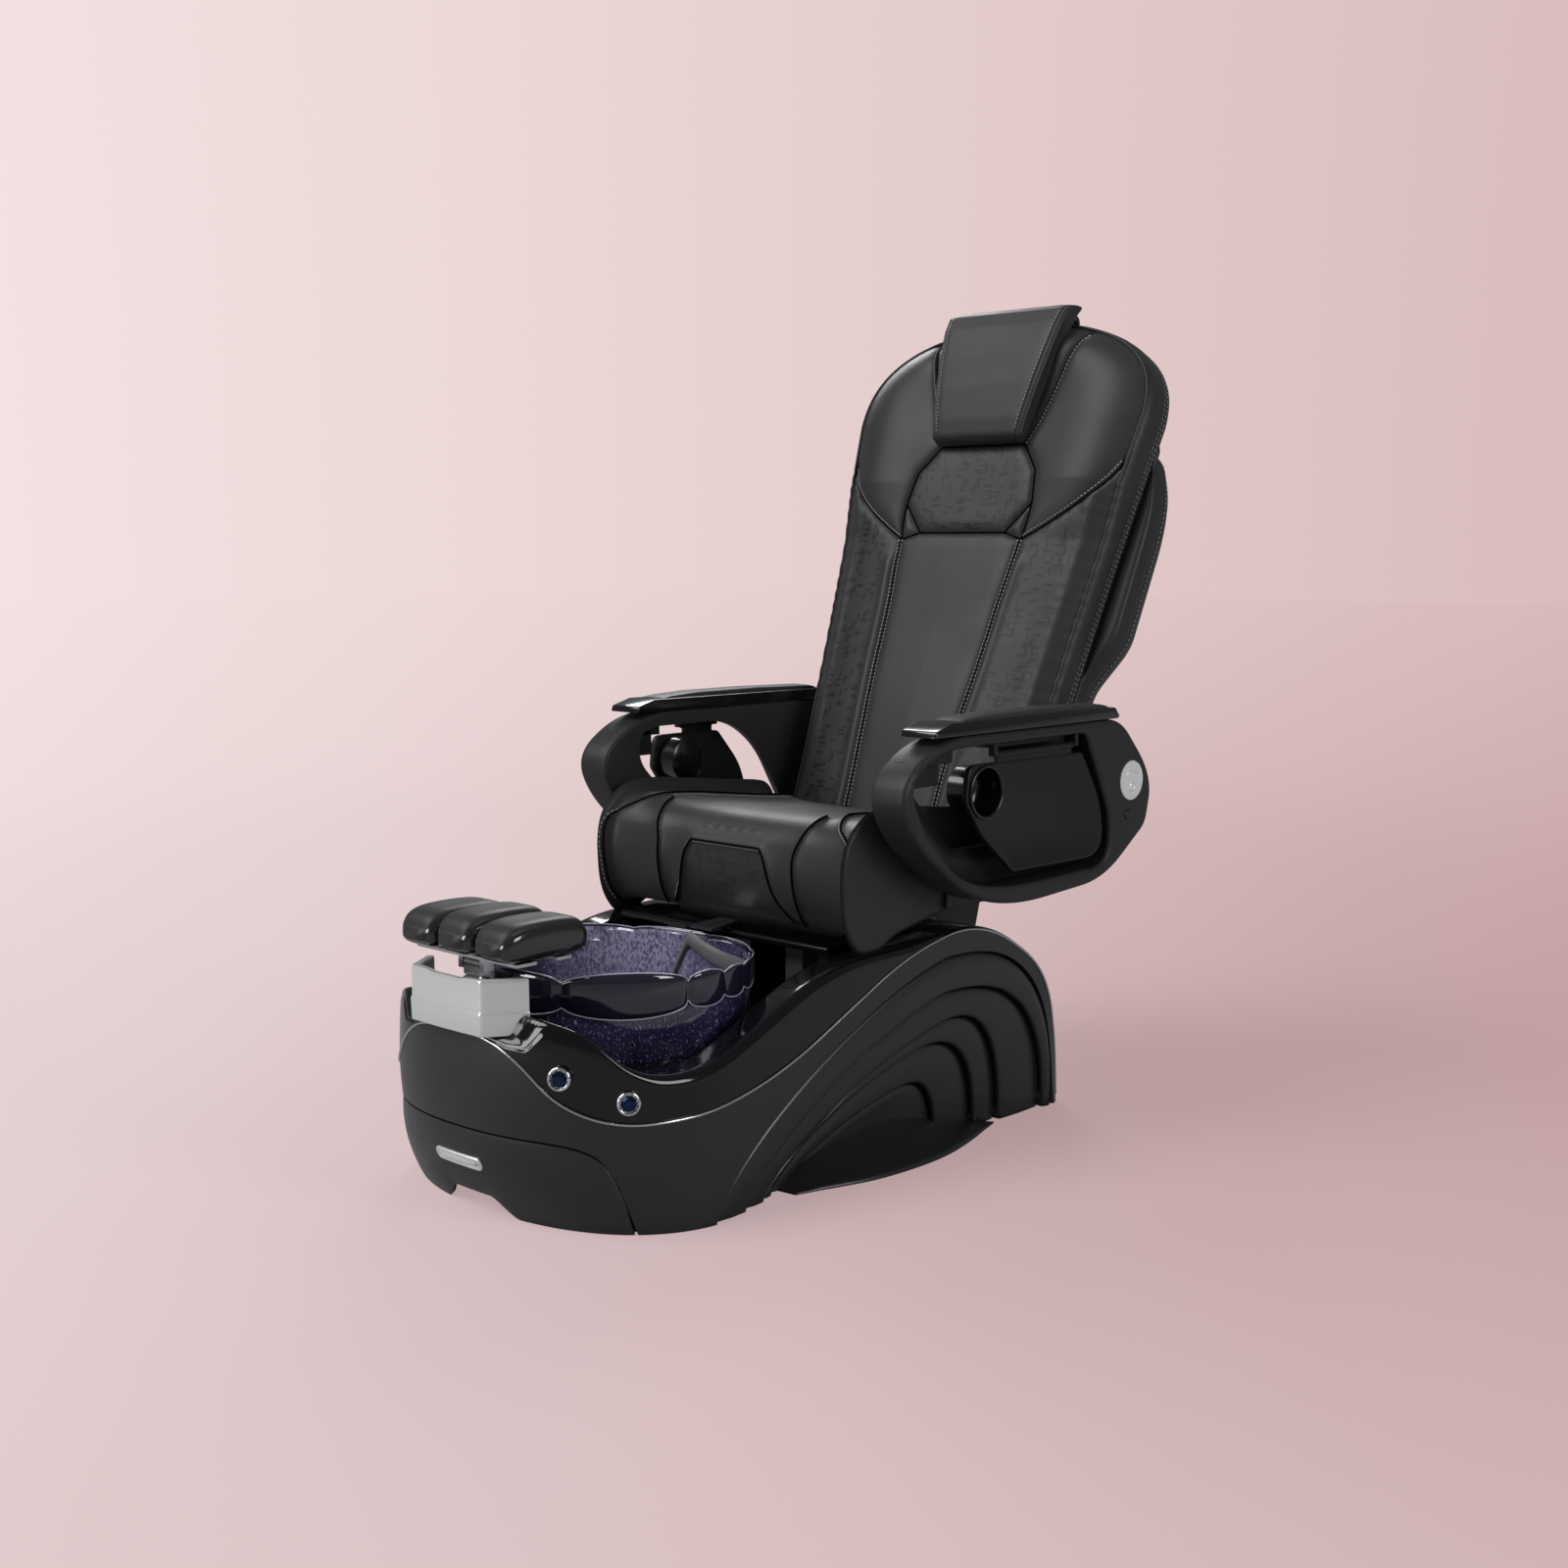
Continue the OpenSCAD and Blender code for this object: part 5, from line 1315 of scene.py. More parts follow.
def back_front(x, v, seams=True):
    """Depth of the front face: a crown with wings, a lumbar swell, rolls, seams and wrinkles."""
    u = edge_share(x, v)
    side = np.abs(x)
    w = -18 * (1 - u ** 5) + 14 * u ** 5 - 18 * bump(u, 0.8, 0.3) * np.clip((v - WING_V) / 120, 0, 1)
    w = w - 10 * bump(v, 200, 160) * (1 - u)
    below = smooth((wing_seam(side) - v) / 14)
    w = w - 5.0 * bump(side, centre_seam(v) + 17, 12) * below * smooth((570 - v) / 40)
    w = w - 5.0 * bump(u, 0.90, 0.05) * below
    outer = np.exp(-(1 - u) / 0.10) * smooth((v - 180) / 120) * below
    w = w + 0.9 * outer * np.sin(v / 5.2 + 2.2 * np.sin(v / 37.0))
    gap = np.clip(wing_seam(side) - v, 0, None)
    folds = np.sin(side / 4.3 + 1.7 * np.sin(side / 19.0))
    w = w + 1.1 * np.exp(-gap / 17) * below * smooth((side - 165) / 30) * folds
    if seams:
        d = seam_distance(np.stack([x.ravel(), v.ravel()], axis=1), BACK_SEAMS).reshape(x.shape)
        w = w + 8.5 * np.exp(-d / 9.0) + 2.5 * np.exp(-(d / 2.6) ** 2) - 2.0
    return w


def emboss_share(x, v):
    """1 where the leather is embossed: in the hexagon and on the side panels."""
    d = seam_distance(np.stack([x.ravel(), v.ravel()], axis=1), [HEXAGON]).reshape(x.shape)
    hexagon = inside(x, v, HEXAGON) * smooth((d - 3) / 5)
    side = np.abs(x)
    panel = smooth((side - centre_seam(v) - ROLL_W) / 8) * smooth((wing_seam(side) - 8 - v) / 8)
    return np.maximum(hexagon, panel * smooth((0.89 - edge_share(x, v)) / 0.03))


def set_emboss(obj, values):
    """Stores how embossed each point is. Values cover the first points of the mesh."""
    attribute = obj.data.attributes.new("emboss", "FLOAT", "POINT")
    attribute.data.foreach_set("value", np.asarray(values, np.float32))


# The cushion's side as (inset, distance behind the front edge), and its rear edge as (inset, depth)
SIDE_PROFILE = [(12, 0), (9.5, 0.4), (6, 4), (3, 10), (1, 19), (0, 30)]
REAR_PROFILE = [(0, 54), (0.4, 57.5), (2.4, 60), (0.4, 62.5), (0.5, 68), (3, 76), (8, 81), (14, 82)]


MOUTH = ((0.80, 11.0), (0.95, 9.5), (0.985, 5.0))   # rings that close the cushion's foot: (share, drop)
REAR_SHARES = (0.7, 0.35, 0, -0.35, -0.7)           # columns of the flat rear face
FRONT_COLUMNS = 181
PIPING_R, PIPING_IN = 3.0, 9.0
SHADE_CORD_UP, STITCH_UP = 3.2, 1.2                     # the seams' cords of painted shade, and the stitches, stand this far out of the face


def on_front(line, out=0.0):
    """Points of the cushion's front face under a line, lifted out of it."""
    return on_back(line[:, 0], back_front(line[:, 0], line[:, 1]) - out, line[:, 1])


def cushion_sides(edge_w):
    """Columns round the left side and rear edge of the cushion, as (x, depth, height).
    edge_w is the depth of the front face's edge."""
    columns = []
    for inset, behind in SIDE_PROFILE[1:]:
        o = back_outline(inset)
        columns.append((o[:, 0], edge_w + behind, o[:, 1]))
    for inset, depth in REAR_PROFILE:
        o = back_outline(inset)
        columns.append((o[:, 0], np.full(len(o), float(depth)), o[:, 1]))
    return columns


def cushion_cover():
    """Leather cushion of the backrest, with embossed panels."""
    front = back_outline(FRONT_IN)
    u = np.linspace(-1, 1, FRONT_COLUMNS)
    x, v = front[:, :1] * u, np.repeat(front[:, 1:], len(u), axis=1)
    right = cushion_sides(back_front(front[:, 0], front[:, 1], False))
    rear = back_outline(REAR_PROFILE[-1][0])
    parts = [on_back(x, back_front(x, v), v)]
    parts += [on_back(a, b, c)[:, None] for a, b, c in right]
    parts += [on_back(rear[:, 0] * s, BACK_T, rear[:, 1])[:, None] for s in REAR_SHARES]
    parts += [on_back(-a, b, c)[:, None] for a, b, c in right[::-1]]
    grid = np.concatenate(parts, axis=1)
    middle = on_back(0, 40, 0)
    foot = [middle + (grid[0] - middle) * s - on_back(0, 0, drop) + on_back(0, 0, 0) for s, drop in MOUTH]
    grid = np.concatenate([np.array(foot), grid])
    obj = surface("back_cushion_cover", grid, "backrest", "leather", ["back_cushion"],
                  close_cols=True, caps=True, weld_points=False)
    share = np.zeros(grid.shape[:2])
    share[len(MOUTH):, :len(u)] = emboss_share(x, v)
    set_emboss(obj, share.ravel())
    weld(obj.data)


def cushion_piping():
    """Leather piping round the cushion's front edge."""
    line = back_outline(PIPING_IN)
    line = line[line[:, 1] > 2]
    half = on_back(line[:, 0], back_front(line[:, 0], line[:, 1], False) - 0.8, line[:, 1])
    path = np.vstack([half, (half * [-1, 1, 1])[-2::-1]])
    solid("back_cushion_piping", tube_grid(path, PIPING_R, 9), "backrest", "leather")


def back_cushion():
    """The backrest's cushion, with its piping, seams and stitches."""
    cushion_cover()
    cushion_piping()
    seam_shade_cords("back_cushion_seams", BACK_SEAMS, lambda line: on_front(line, SHADE_CORD_UP), 2.1, "backrest")
    lines = []
    for seam, offset in ((WING_INNER, -4.5), (WING_LINE, 4.5), (CENTRE_LINE, 4.5), (CENTRE_LINE, -4.5)):
        line = beside(spline(seam, 5), offset)
        lines += [line, line * [-1, 1]]
    stitches("back_cushion_stitches", lines, lambda line: on_front(line, STITCH_UP), "backrest")
    edge = back_outline(0.4)
    shown = (edge[:, 1] > 20) & (edge[:, 1] < 1040)
    paths = [resample(on_back(edge[:, 0] * side, depth, edge[:, 1])[shown], 2.5)
             for side in (1, -1) for depth in (55.5, 64.5)]
    border_stitches("back_border_stitches", paths, 0.55)


# The pillow's rows: (height, half width, thickness, shift back)
PILLOW = [(790, 108, 20, 0), (797, 111, 27, 0), (830, 116, 32, 0), (900, 127, 36, 0), (970, 138, 40, 4),
          (1030, 146, 42, 9), (1062, 149, 39, 14), (1084, 150, 28, 24)]
PILLOW_BACK = -21.0


PILLOW_ENDS = (788.4, 1084.4)
PILLOW_TUCK = np.array([1.5, 2.5, 2.5, 1.5, 4.0])    # how far the sides draw in, from the face to the back
FLAP = [[-24, 1072, 3], [-24, 1085, 6], [36, 1084.5, 8], [46, 1074, 8], [44, 1070, 3], [30, 1072, 4]]
STITCH_IN = 14.5


def pillow_at(v):
    """Half width, thickness and shift back of the pillow at height v."""
    rows = np.array(PILLOW, float)
    return [np.interp(v, rows[:, 0], rows[:, k]) for k in (1, 2, 3)]


def pillow_row(v, u):
    """One ring of the pillow at height v: its face, at shares u of its half width, its sides and its back."""
    half, thick, shift = pillow_at(v)
    end = np.clip(min((v - PILLOW_ENDS[0]) / 12, (PILLOW_ENDS[1] - v) / 14), 0, 1)
    puff = np.sqrt(1 - (1 - end) ** 2)
    x = half * u
    back = PILLOW_BACK + shift
    edge, near = (np.clip((half - np.abs(x)) / width, 0, 1) for width in (9.0, 30.0))
    w = back - thick * (0.55 + 0.45 * puff) + 7.0 * (1 - np.sqrt(1 - (1 - edge) ** 2)) + 4.0 * (1 - near) ** 2
    w = w - 3.0 * puff + 3.0 * bump(np.abs(x), half - 9, 2.2)
    side_w = np.linspace(w[-1], back, 6)[1:]
    rear = np.linspace(half - 12, -half + 12, 12)
    xs = np.concatenate([x, half - PILLOW_TUCK, rear, -half + PILLOW_TUCK[::-1]])
    ws = np.concatenate([w, side_w, np.full(len(rear), back + 1.0), side_w[::-1]])
    return on_back(xs, ws, v)


def pillow_face(line, out=0.0):
    """Points of the pillow's face under a line, lifted out of it."""
    half, thick, shift = pillow_at(line[:, 1])
    near = np.clip((half - np.abs(line[:, 0])) / 30.0, 0, 1)
    return on_back(line[:, 0], PILLOW_BACK + shift - thick - 3.0 + 4.0 * (1 - near) ** 2 - out, line[:, 1])


def pillow_flap():
    """Short strap over the backrest's top edge."""
    section = rounded(FLAP, True, 5)
    x = np.concatenate([[-121, -120, -118], np.linspace(-112, 112, 20), [118, 120, 121]])
    shrink = np.interp(np.abs(x), [112, 118, 120, 121], [1, 0.97, 0.85, 0.6])
    middle = section.mean(axis=0)
    rings = [middle + (section - middle) * s for s in shrink]
    flap = np.array([on_back(xi, ring[:, 0], ring[:, 1]) for xi, ring in zip(x, rings)])
    strap = solid("head_pillow_flap", flap, "headrest", "leather")


def head_pillow():
    """Wedge pillow that hangs over the top of the backrest, with stitches along its face's sides."""
    heights = np.concatenate([[788.5, 789.3, 790.8, 793], np.arange(797, 1070, 5.0),
                              [1074, 1078, 1081, 1083, 1084.3]])
    turn = np.cos(np.linspace(0, math.pi / 2, 40))
    u = np.concatenate([-turn[:-1], turn[::-1]])
    obj = solid("head_pillow_wedge", np.array([pillow_row(v, u) for v in heights]), "headrest",
                "leather", ["head_pillow"])
    pillow_flap()
    v = np.arange(806, 1066, 4.0)
    edge = np.column_stack([pillow_at(v)[0] - STITCH_IN, v])
    stitches("head_pillow_stitches", [edge, edge * [-1, 1]], lambda line: pillow_face(line, 0.3), "headrest",
             4, 0.6)


SHELL_FOOT, SHELL_TOP, SHELL_TOP_R = 38.0, 815.0, 18.0
SHELL_ACROSS = 420.0                                # a seam crosses the shell's back at this height
SHELL_SEAM_X = 176.0
QUARTER_TURN = 1.5708
SHELL_REAR = 182.5


def shell_half(v):
    """Half width of the back shell at height v."""
    wide = np.interp(v, [0, 330, 430, 640], [299, 299, 356, 368])
    top = 368 - 40 * (np.clip(v - 640, 0, None) / (SHELL_TOP - 640)) ** 3
    turn = np.clip((v - (SHELL_TOP - SHELL_TOP_R)) / SHELL_TOP_R, 0, 1)
    return np.where(v > 640, top, wide) - SHELL_TOP_R * (1 - np.sqrt(1 - turn ** 2))


# The shell's side, as (inset, depth)
SHELL_PROFILE = [(0, 83), (-0.5, 92), (-1.5, 104), (-1.0, 114), (1.6, 119), (0.5, 123), (3, 134), (7, 146),
                 (12, 155), (22, 165), (33, 173), (46, 178.5), (64, 181), (90, SHELL_REAR)]


def shell_rows():
    """Heights of the shell's rows, and its half width there. The pinch where the shell widens is soft."""
    start = SHELL_TOP - SHELL_TOP_R
    v = np.concatenate([np.arange(SHELL_FOOT, start, 6.0),
                        start + SHELL_TOP_R * np.sin(np.linspace(0, QUARTER_TURN, 8))])
    half = np.convolve(np.pad(shell_half(v), 4, mode="edge"), np.ones(9) / 9, mode="valid")
    half[-8:] = shell_half(v)[-8:]
    return v, half


def shell_columns(v, half):
    """Columns of the shell's left half, from its lip to its middle, as (x, depth, height)."""
    mid = (8 + SHELL_TOP) / 2
    cushion = mix(BACK_BASE_HALF, BACK_WING_HALF, (v / BACK_TURN) ** 1.35)
    lip = [(cushion - 6, 79.0), (mix(cushion, half, 0.25), 75.5), (mix(cushion, half, 0.7), 74.5),
           (half - 2, 77.5)]
    cols = [(x, np.full(len(v), w), v) for x, w in lip]
    for inset, w in SHELL_PROFILE:
        cols.append((half - inset, np.full(len(v), float(w)), v + (mid - v) * max(inset, 0) / 300))
    inner = half - SHELL_PROFILE[-1][0]
    for s in np.linspace(1, 0, 22)[1:]:
        x = inner * s
        off = np.abs(x - SHELL_SEAM_X)
        groove = 2.6 * np.exp(-(off / 3.2) ** 2) + 3.0 * np.exp(-off / 14)
        w = SHELL_REAR + 4 * (1 - s ** 2) - groove * smooth((SHELL_TOP - 110 - v) / 60)
        cols.append((x, w, v + (mid - v) * (90 / 300 * (0.5 + 0.5 * s))))
    return [(x, w - 4.0 * np.exp(-np.abs(q - SHELL_ACROSS) / 12) * smooth((w - 170) / 10), q)
            for x, w, q in cols]


def shell_top(cols):
    """Rows that close the shell's top, from its last row to the backrest."""
    ends = np.array([[c[k][-1] for c in cols] for k in range(3)])
    x, w, v = np.concatenate([ends, (ends * [[-1], [1], [1]])[:, -2::-1]], axis=1)
    rows = [on_back(x, mix(w, np.minimum(w, 120), depth), mix(v, SHELL_TOP, share))
            for share, depth in ((0.5, 0.55), (0.9, 0.85), (1.0, 1.0))]
    rows += [on_back(x, np.minimum(w, depth), SHELL_TOP - drop)
             for depth, drop in ((112, 0), (98, 0), (88, 0), (84, 2.0))]
    return np.array(rows)


def back_shell():
    """Padded shell behind the backrest, with a rolled edge, seams on its back and stitches round its side."""
    v, half = shell_rows()
    cols = shell_columns(v, half)
    left = np.stack([on_back(*c) for c in cols], axis=1)
    grid = np.concatenate([left, (left * [-1, 1, 1])[:, -2::-1]], axis=1)
    obj = surface("back_shell_cover", np.concatenate([grid, shell_top(cols)]), "backrest",
                  "back", ["back_shell"], core=on_back(0, 100, 400))
    thicken(obj, 6, even=False)
    paths = [resample(on_back((half - 1.2) * side, w, v)[2:-6], 2.5)
             for side in (1, -1) for w in (115.0, 126.0)]
    border_stitches("back_shell_stitches", paths, 0.6)


# ---------------------------------------------------------------- arms and trays

ARM_X, ARM_T = 330.0, 75.0
POCKET_X = 346.0
ARM_OUTLINE = [[465, 736, 42], [579, 620, 78], [555, 527, 20], [420, 437, 68], [57, 418, 186],
               [-142, 566, 65], [-184, 659, 60], [-71, 736, 80]]
ARM_POCKET = [[352, 716, 14], [434, 556, 30], [430, 464, 60], [16, 458, 176], [-112, 581, 30],
              [-155, 671, 60], [-63, 716, 68]]
ARM_WINDOW = [[159, 708, 48], [245, 653, 50], [319, 530, 10], [32, 530, 10], [-82, 644, 30], [-77, 708, 60]]
ARM_MIDDLE = np.array([110.0, 620.0])
RIM_R, LIP_R = 11.0, 8.0
PIVOT = (498.0, 617.0)
BUTTON = (487.0, 553.0)
HINGE_X, HINGE_Z, BARREL_Y = 393.0, 697.0, 90.0
BARREL_LEN = {"left": 230.0, "right": 86.0}


def matched(outline, middle, angles):
    """The outline's points at given angles about a middle."""
    p = resample(rounded(outline, True, 16), 2.0, True)
    a = np.arctan2(p[:, 1] - middle[1], p[:, 0] - middle[0])
    r = np.hypot(p[:, 0] - middle[0], p[:, 1] - middle[1])
    order = np.argsort(a)
    a, r = a[order], r[order]
    r = np.interp(angles, np.concatenate([a - 2 * math.pi, a, a + 2 * math.pi]), np.tile(r, 3))
    return middle + np.stack([r * np.cos(angles), r * np.sin(angles)], axis=1)


def inward(ring):
    """Unit normals that point into a closed outline."""
    n = normals_2d(ring)
    middle = ring.mean(axis=0)
    return n if ((middle - ring) * n).sum() > 0 else -n


def at_x(x, ring):
    """Points of a [y, z] ring at a place across the chair."""
    return np.column_stack([np.broadcast_to(x, len(ring)), ring])


def quarter_round(ring, x, r, outward, start, stop, steps=6, facing=1):
    """Rings that round an edge of radius r at x, from angle start to stop.
    0 faces sideways, and 90 faces along X, or against it when facing is -1."""
    n = inward(ring) * (1 if outward else -1)
    rings = []
    for b in np.radians(np.linspace(start, stop, steps)):
        rings.append(at_x(x - facing * r * (1 - math.sin(b)), ring + n * r * (1 - math.cos(b))))
    return rings


def prism(outline, x0, x1):
    """Grid of an outline in [y, z], extruded between two x."""
    p = np.array(outline, float)
    return np.array([at_x(x0, p), at_x(x1, p)])


def block(x0, x1, y0, y1, z0, z1):
    """Grid of a box."""
    return prism([(y0, z0), (y1, z0), (y1, z1), (y0, z1)], x0, x1)


ARM_EDGE_R = 6.0


def arm_loop(side, word):
    """Thick rounded rim round a pocket, with a see-through window in the pocket's floor."""
    outer = resample(rounded(ARM_OUTLINE, True, 16), 4.0, True)
    angles = np.arctan2(outer[:, 1] - ARM_MIDDLE[1], outer[:, 0] - ARM_MIDDLE[0])
    pocket, window = matched(ARM_POCKET, ARM_MIDDLE, angles), matched(ARM_WINDOW, ARM_MIDDLE, angles)
    far = ARM_X + ARM_T
    lip = pocket - inward(pocket) * LIP_R
    rings = [at_x(ARM_X, window), at_x(ARM_X, mix(window, outer, 0.5))]
    rings += quarter_round(outer, ARM_X, ARM_EDGE_R, True, 90, 0, 5, facing=-1)
    rings += [at_x(ARM_X + 30, outer), at_x(far - RIM_R - 8, outer)]
    rings += quarter_round(outer, far, RIM_R, True, 0, 90, 8)
    rings.append(at_x(far + 0.6, mix(outer + inward(outer) * RIM_R, lip, 0.5)))
    rings += quarter_round(pocket, far, LIP_R, False, 90, 0, 8)
    rings += [at_x(far - 24, pocket), at_x(POCKET_X + 4, pocket), at_x(POCKET_X, pocket + inward(pocket) * 4)]
    rings += [at_x(POCKET_X, mix(pocket, window, 0.6)), at_x(POCKET_X, window - inward(window) * 3),
              at_x(POCKET_X - 3, window)]
    obj = surface(f"arm_{word}_loop", np.array(rings) * [side, 1, 1], f"armrest_{word}", "arm",
                  [f"arm_{word}"], close_rows=True, close_cols=True, sharp=60)
    paint_pocket_shade(obj, far)


def paint_pocket_shade(obj, far):
    """Gives the faces inside an arm's pocket the darker finish of the trays, as painted shade in the recess.
    """
    obj.data.materials.append(look["tray"])
    centres = np.array([f.center for f in obj.data.polygons]) / MM - [0, SHIFT, 0]
    away = centres[:, 1:] - ARM_MIDDLE
    edge = matched(ARM_POCKET, ARM_MIDDLE, np.arctan2(away[:, 1], away[:, 0])) - ARM_MIDDLE
    deep = np.linalg.norm(away, axis=1) < np.linalg.norm(edge, axis=1) + 1.5
    across = np.abs(centres[:, 0])
    # painted shade: these faces inside the pocket take the darker finish
    dark = deep & (across < far - 9) & (across > ARM_X + 2)
    obj.data.polygons.foreach_set("material_index", dark.astype(np.int32))


def arm_hinge(side, word):
    """The blocks and pins in an arm's pocket that carry its tray."""
    rod_end = BARREL_Y + BARREL_LEN[word]
    back = POCKET_X - 1
    blocks = [block(HINGE_X - 7, HINGE_X + 7, y, y + 10, 694, 717) for y in (BARREL_Y - 11, rod_end + 1)]
    blocks += [block(back, POCKET_X + 34, -78, -12, 690, 718),
               block(back, POCKET_X + 22, -126, -34, 652, 700),
               block(back, HINGE_X - 10, BARREL_Y + 8, rod_end - 8, 706, 718)]
    obj = solid(f"arm_{word}_blocks", [b * [side, 1, 1] for b in blocks], f"armrest_{word}",
                "tray", sharp=30)
    soften(obj, 1.6, 3)
    pins = []
    for y0, y1 in ((BARREL_Y - 6, BARREL_Y + 20), (rod_end - 20, rod_end + 6)):
        path = [(HINGE_X, y, HINGE_Z) for y in np.linspace(y0, y1, 4)]
        pins.append(tube_grid(path, 3, 12) * [side, 1, 1])
    solid(f"arm_{word}_pins", pins, f"armrest_{word}", "steel", sharp=40)


def arm(side, word):
    """One arm, with its pocket's fittings."""
    arm_loop(side, word)
    arm_hinge(side, word)


CAP_OUTLINE = [[-88, 736.5], [456, 736.5], [460, 741], [446, 757.5], [-40, 760], [-84, 748]]
PAD_FOOT = 759.2
PAD_TOP_Y, PAD_TOP_Z = [-10, 8, 90, 250, 418, 430], [760.6, 764.5, 768.5, 768.5, 764.5, 759.4]
PAD_ACROSS = [(0, -0.4), (0, 0.3), (0.015, 0.62), (0.05, 0.86), (0.12, 0.97), (0.3, 1.05), (0.5, 1.08),
              (0.7, 1.05), (0.88, 0.97), (0.95, 0.86), (0.985, 0.62), (1, 0.3), (1, -0.4)]   # (share, rise)


def arm_top(side, word):
    """Gloss slab on the arm, and the thin pad let on to it."""
    slab = solid(f"arm_cap_{word}_slab", prism(CAP_OUTLINE, ARM_X - 3, ARM_X + ARM_T - 2) * [side, 1, 1],
                 f"armrest_{word}", "cap_gloss", [f"arm_cap_{word}"])
    soften(slab, 5.0, 5, 20)
    y = np.concatenate([[-9, -6, 0], np.linspace(12, 412, 70), [422, 427, 430]])
    across, rise = np.array(PAD_ACROSS).T
    x = ARM_X + 6 + (ARM_T - 14) * across
    z = PAD_FOOT + (np.interp(y, PAD_TOP_Y, PAD_TOP_Z) - PAD_FOOT)[:, None] * rise
    grid = np.stack([np.repeat(x[None], len(y), 0), np.repeat(y[:, None], len(x), 1), z], axis=2)
    pad = solid(f"arm_pad_{word}_cushion", grid * [side, 1, 1], f"armrest_{word}", "pad",
                [f"arm_pad_{word}"], sharp=60)


def sideways(grid, y, z, side):
    """A lathed grid with its axis laid along X, outward on the given side."""
    return np.stack([grid[..., 2], y + grid[..., 0], z + grid[..., 1]], axis=-1) * [side, 1, 1]


def arm_fittings(side, word):
    """Bright disc over the arm's pivot, with two raised shapes, and the dark release button under it."""
    far = ARM_X + ARM_T
    profile = [(37.4, far - 8), (37.5, far + 0.6), (36.9, far + 1.7), (35.6, far + 2.2), (34.0, far + 2.2),
               (33.2, far + 1.7), (32.2, far + 1.5), (24, far + 1.9), (10, far + 2.2), (0.3, far + 2.3)]
    grids = [sideways(lathe(profile, 80), *PIVOT, side)]
    button = [(9, far + 1.0), (9, far + 3.4), (8.2, far + 4.2), (6.4, far + 4.4), (5.6, far + 3.7),
              (0.2, far + 3.7)]
    grids.append(sideways(lathe(button, 40), PIVOT[0], PIVOT[1] - 12, side))
    a = np.radians(np.linspace(25, 155, 20))
    arc = np.stack([np.full(20, far + 2.4), PIVOT[0] + 19 * np.cos(a), PIVOT[1] + 4 + 15 * np.sin(a)], axis=1)
    grids.append(tube_grid(arc, 2.6 * np.sin(np.linspace(0.35, math.pi - 0.35, 20)), 10) * [side, 1, 1])
    solid(f"arm_disc_{word}_face", grids, f"armrest_{word}", "disc", [f"arm_disc_{word}"],
          sharp=40)
    knob = [(8, far - 14), (8, far + 1.6), (7.4, far + 2.5), (6.2, far + 3.0), (0.2, far + 2.4)]
    solid(f"release_button_{word}_cap", sideways(lathe(knob, 36), *BUTTON, side), f"button_{word}",
          "button", [f"release_button_{word}"], sharp=45)
    ring = [(8.6, far - 1), (8.6, far + 0.9), (9.4, far + 1.3), (10.4, far + 1.1), (10.8, far + 0.3),
            (10.8, far - 1)]
    surface(f"release_button_{word}_ring", sideways(lathe(ring, 36), *BUTTON, side), f"armrest_{word}",
            "tray", close_rows=True, close_cols=True)


TRAYS = {"left": [[6, 620, 6], [12, 684, 24], [348, 682, 8], [416, 578, 50], [420, 482, 60], [143, 484, 8],
                  [51, 558, 20]],
         "right": [[6, 620, 6], [12, 684, 24], [188, 682, 8], [264, 596, 50], [274, 484, 40], [143, 484, 8],
                   [51, 558, 20]]}
TRAY_X, TRAY_T = 385.0, 12.0
CUP = np.array([62.0, 634.0])
CUP_R = 41.0


TRAY_EDGE_NEAR, TRAY_EDGE_FAR = 3.0, 3.5


def tray_plate(side, word):
    """Flat tray with rounded edges, a shallow face and the cup's hole."""
    outline = resample(rounded(TRAYS[word], True, 14), 4.0, True)
    angles = np.arctan2(outline[:, 1] - CUP[1], outline[:, 0] - CUP[0])
    hole = CUP + (CUP_R + 2.5) * np.stack([np.cos(angles), np.sin(angles)], axis=1)
    far = TRAY_X + TRAY_T
    rings = [at_x(TRAY_X, hole), at_x(TRAY_X, mix(hole, outline, 0.5))]
    rings += quarter_round(outline, TRAY_X, TRAY_EDGE_NEAR, True, 90, 0, 4, facing=-1)
    rings += quarter_round(outline, far, TRAY_EDGE_FAR, True, 0, 90, 6)
    rim = outline + inward(outline) * TRAY_EDGE_FAR
    rings += [at_x(far - sink, mix(rim, hole, share))
              for sink, share in ((0, 0.03), (1.6, 0.05), (1.6, 0.5), (1.4, 0.9))]
    rings += [at_x(far, hole - inward(hole) * 2), at_x(far, hole)]
    surface(f"tray_{word}_plate", np.array(rings) * [side, 1, 1], f"side_tray_{word}", "tray",
            [f"tray_{word}"], close_rows=True, close_cols=True, sharp=50)


def tray_barrel(side, word):
    """Hinge barrel along the tray's top, and the neck that joins them."""
    end = BARREL_Y + BARREL_LEN[word]
    y = np.concatenate([[BARREL_Y, BARREL_Y + 0.8], np.linspace(BARREL_Y + 2, end - 2, 30), [end - 0.8, end]])
    r = np.concatenate([[5.0, 5.7], np.full(30, 6.0), [5.7, 5.0]])
    barrel = tube_grid([(HINGE_X, v, HINGE_Z) for v in y], r, 20)
    neck = block(HINGE_X - 6, HINGE_X + 2, BARREL_Y + 4, end - 4, 678, 695)
    obj = solid(f"tray_{word}_barrel", [barrel * [side, 1, 1], neck * [side, 1, 1]], f"side_tray_{word}",
                "tray", sharp=40)
    soften(obj, 0.8, 2, 50)


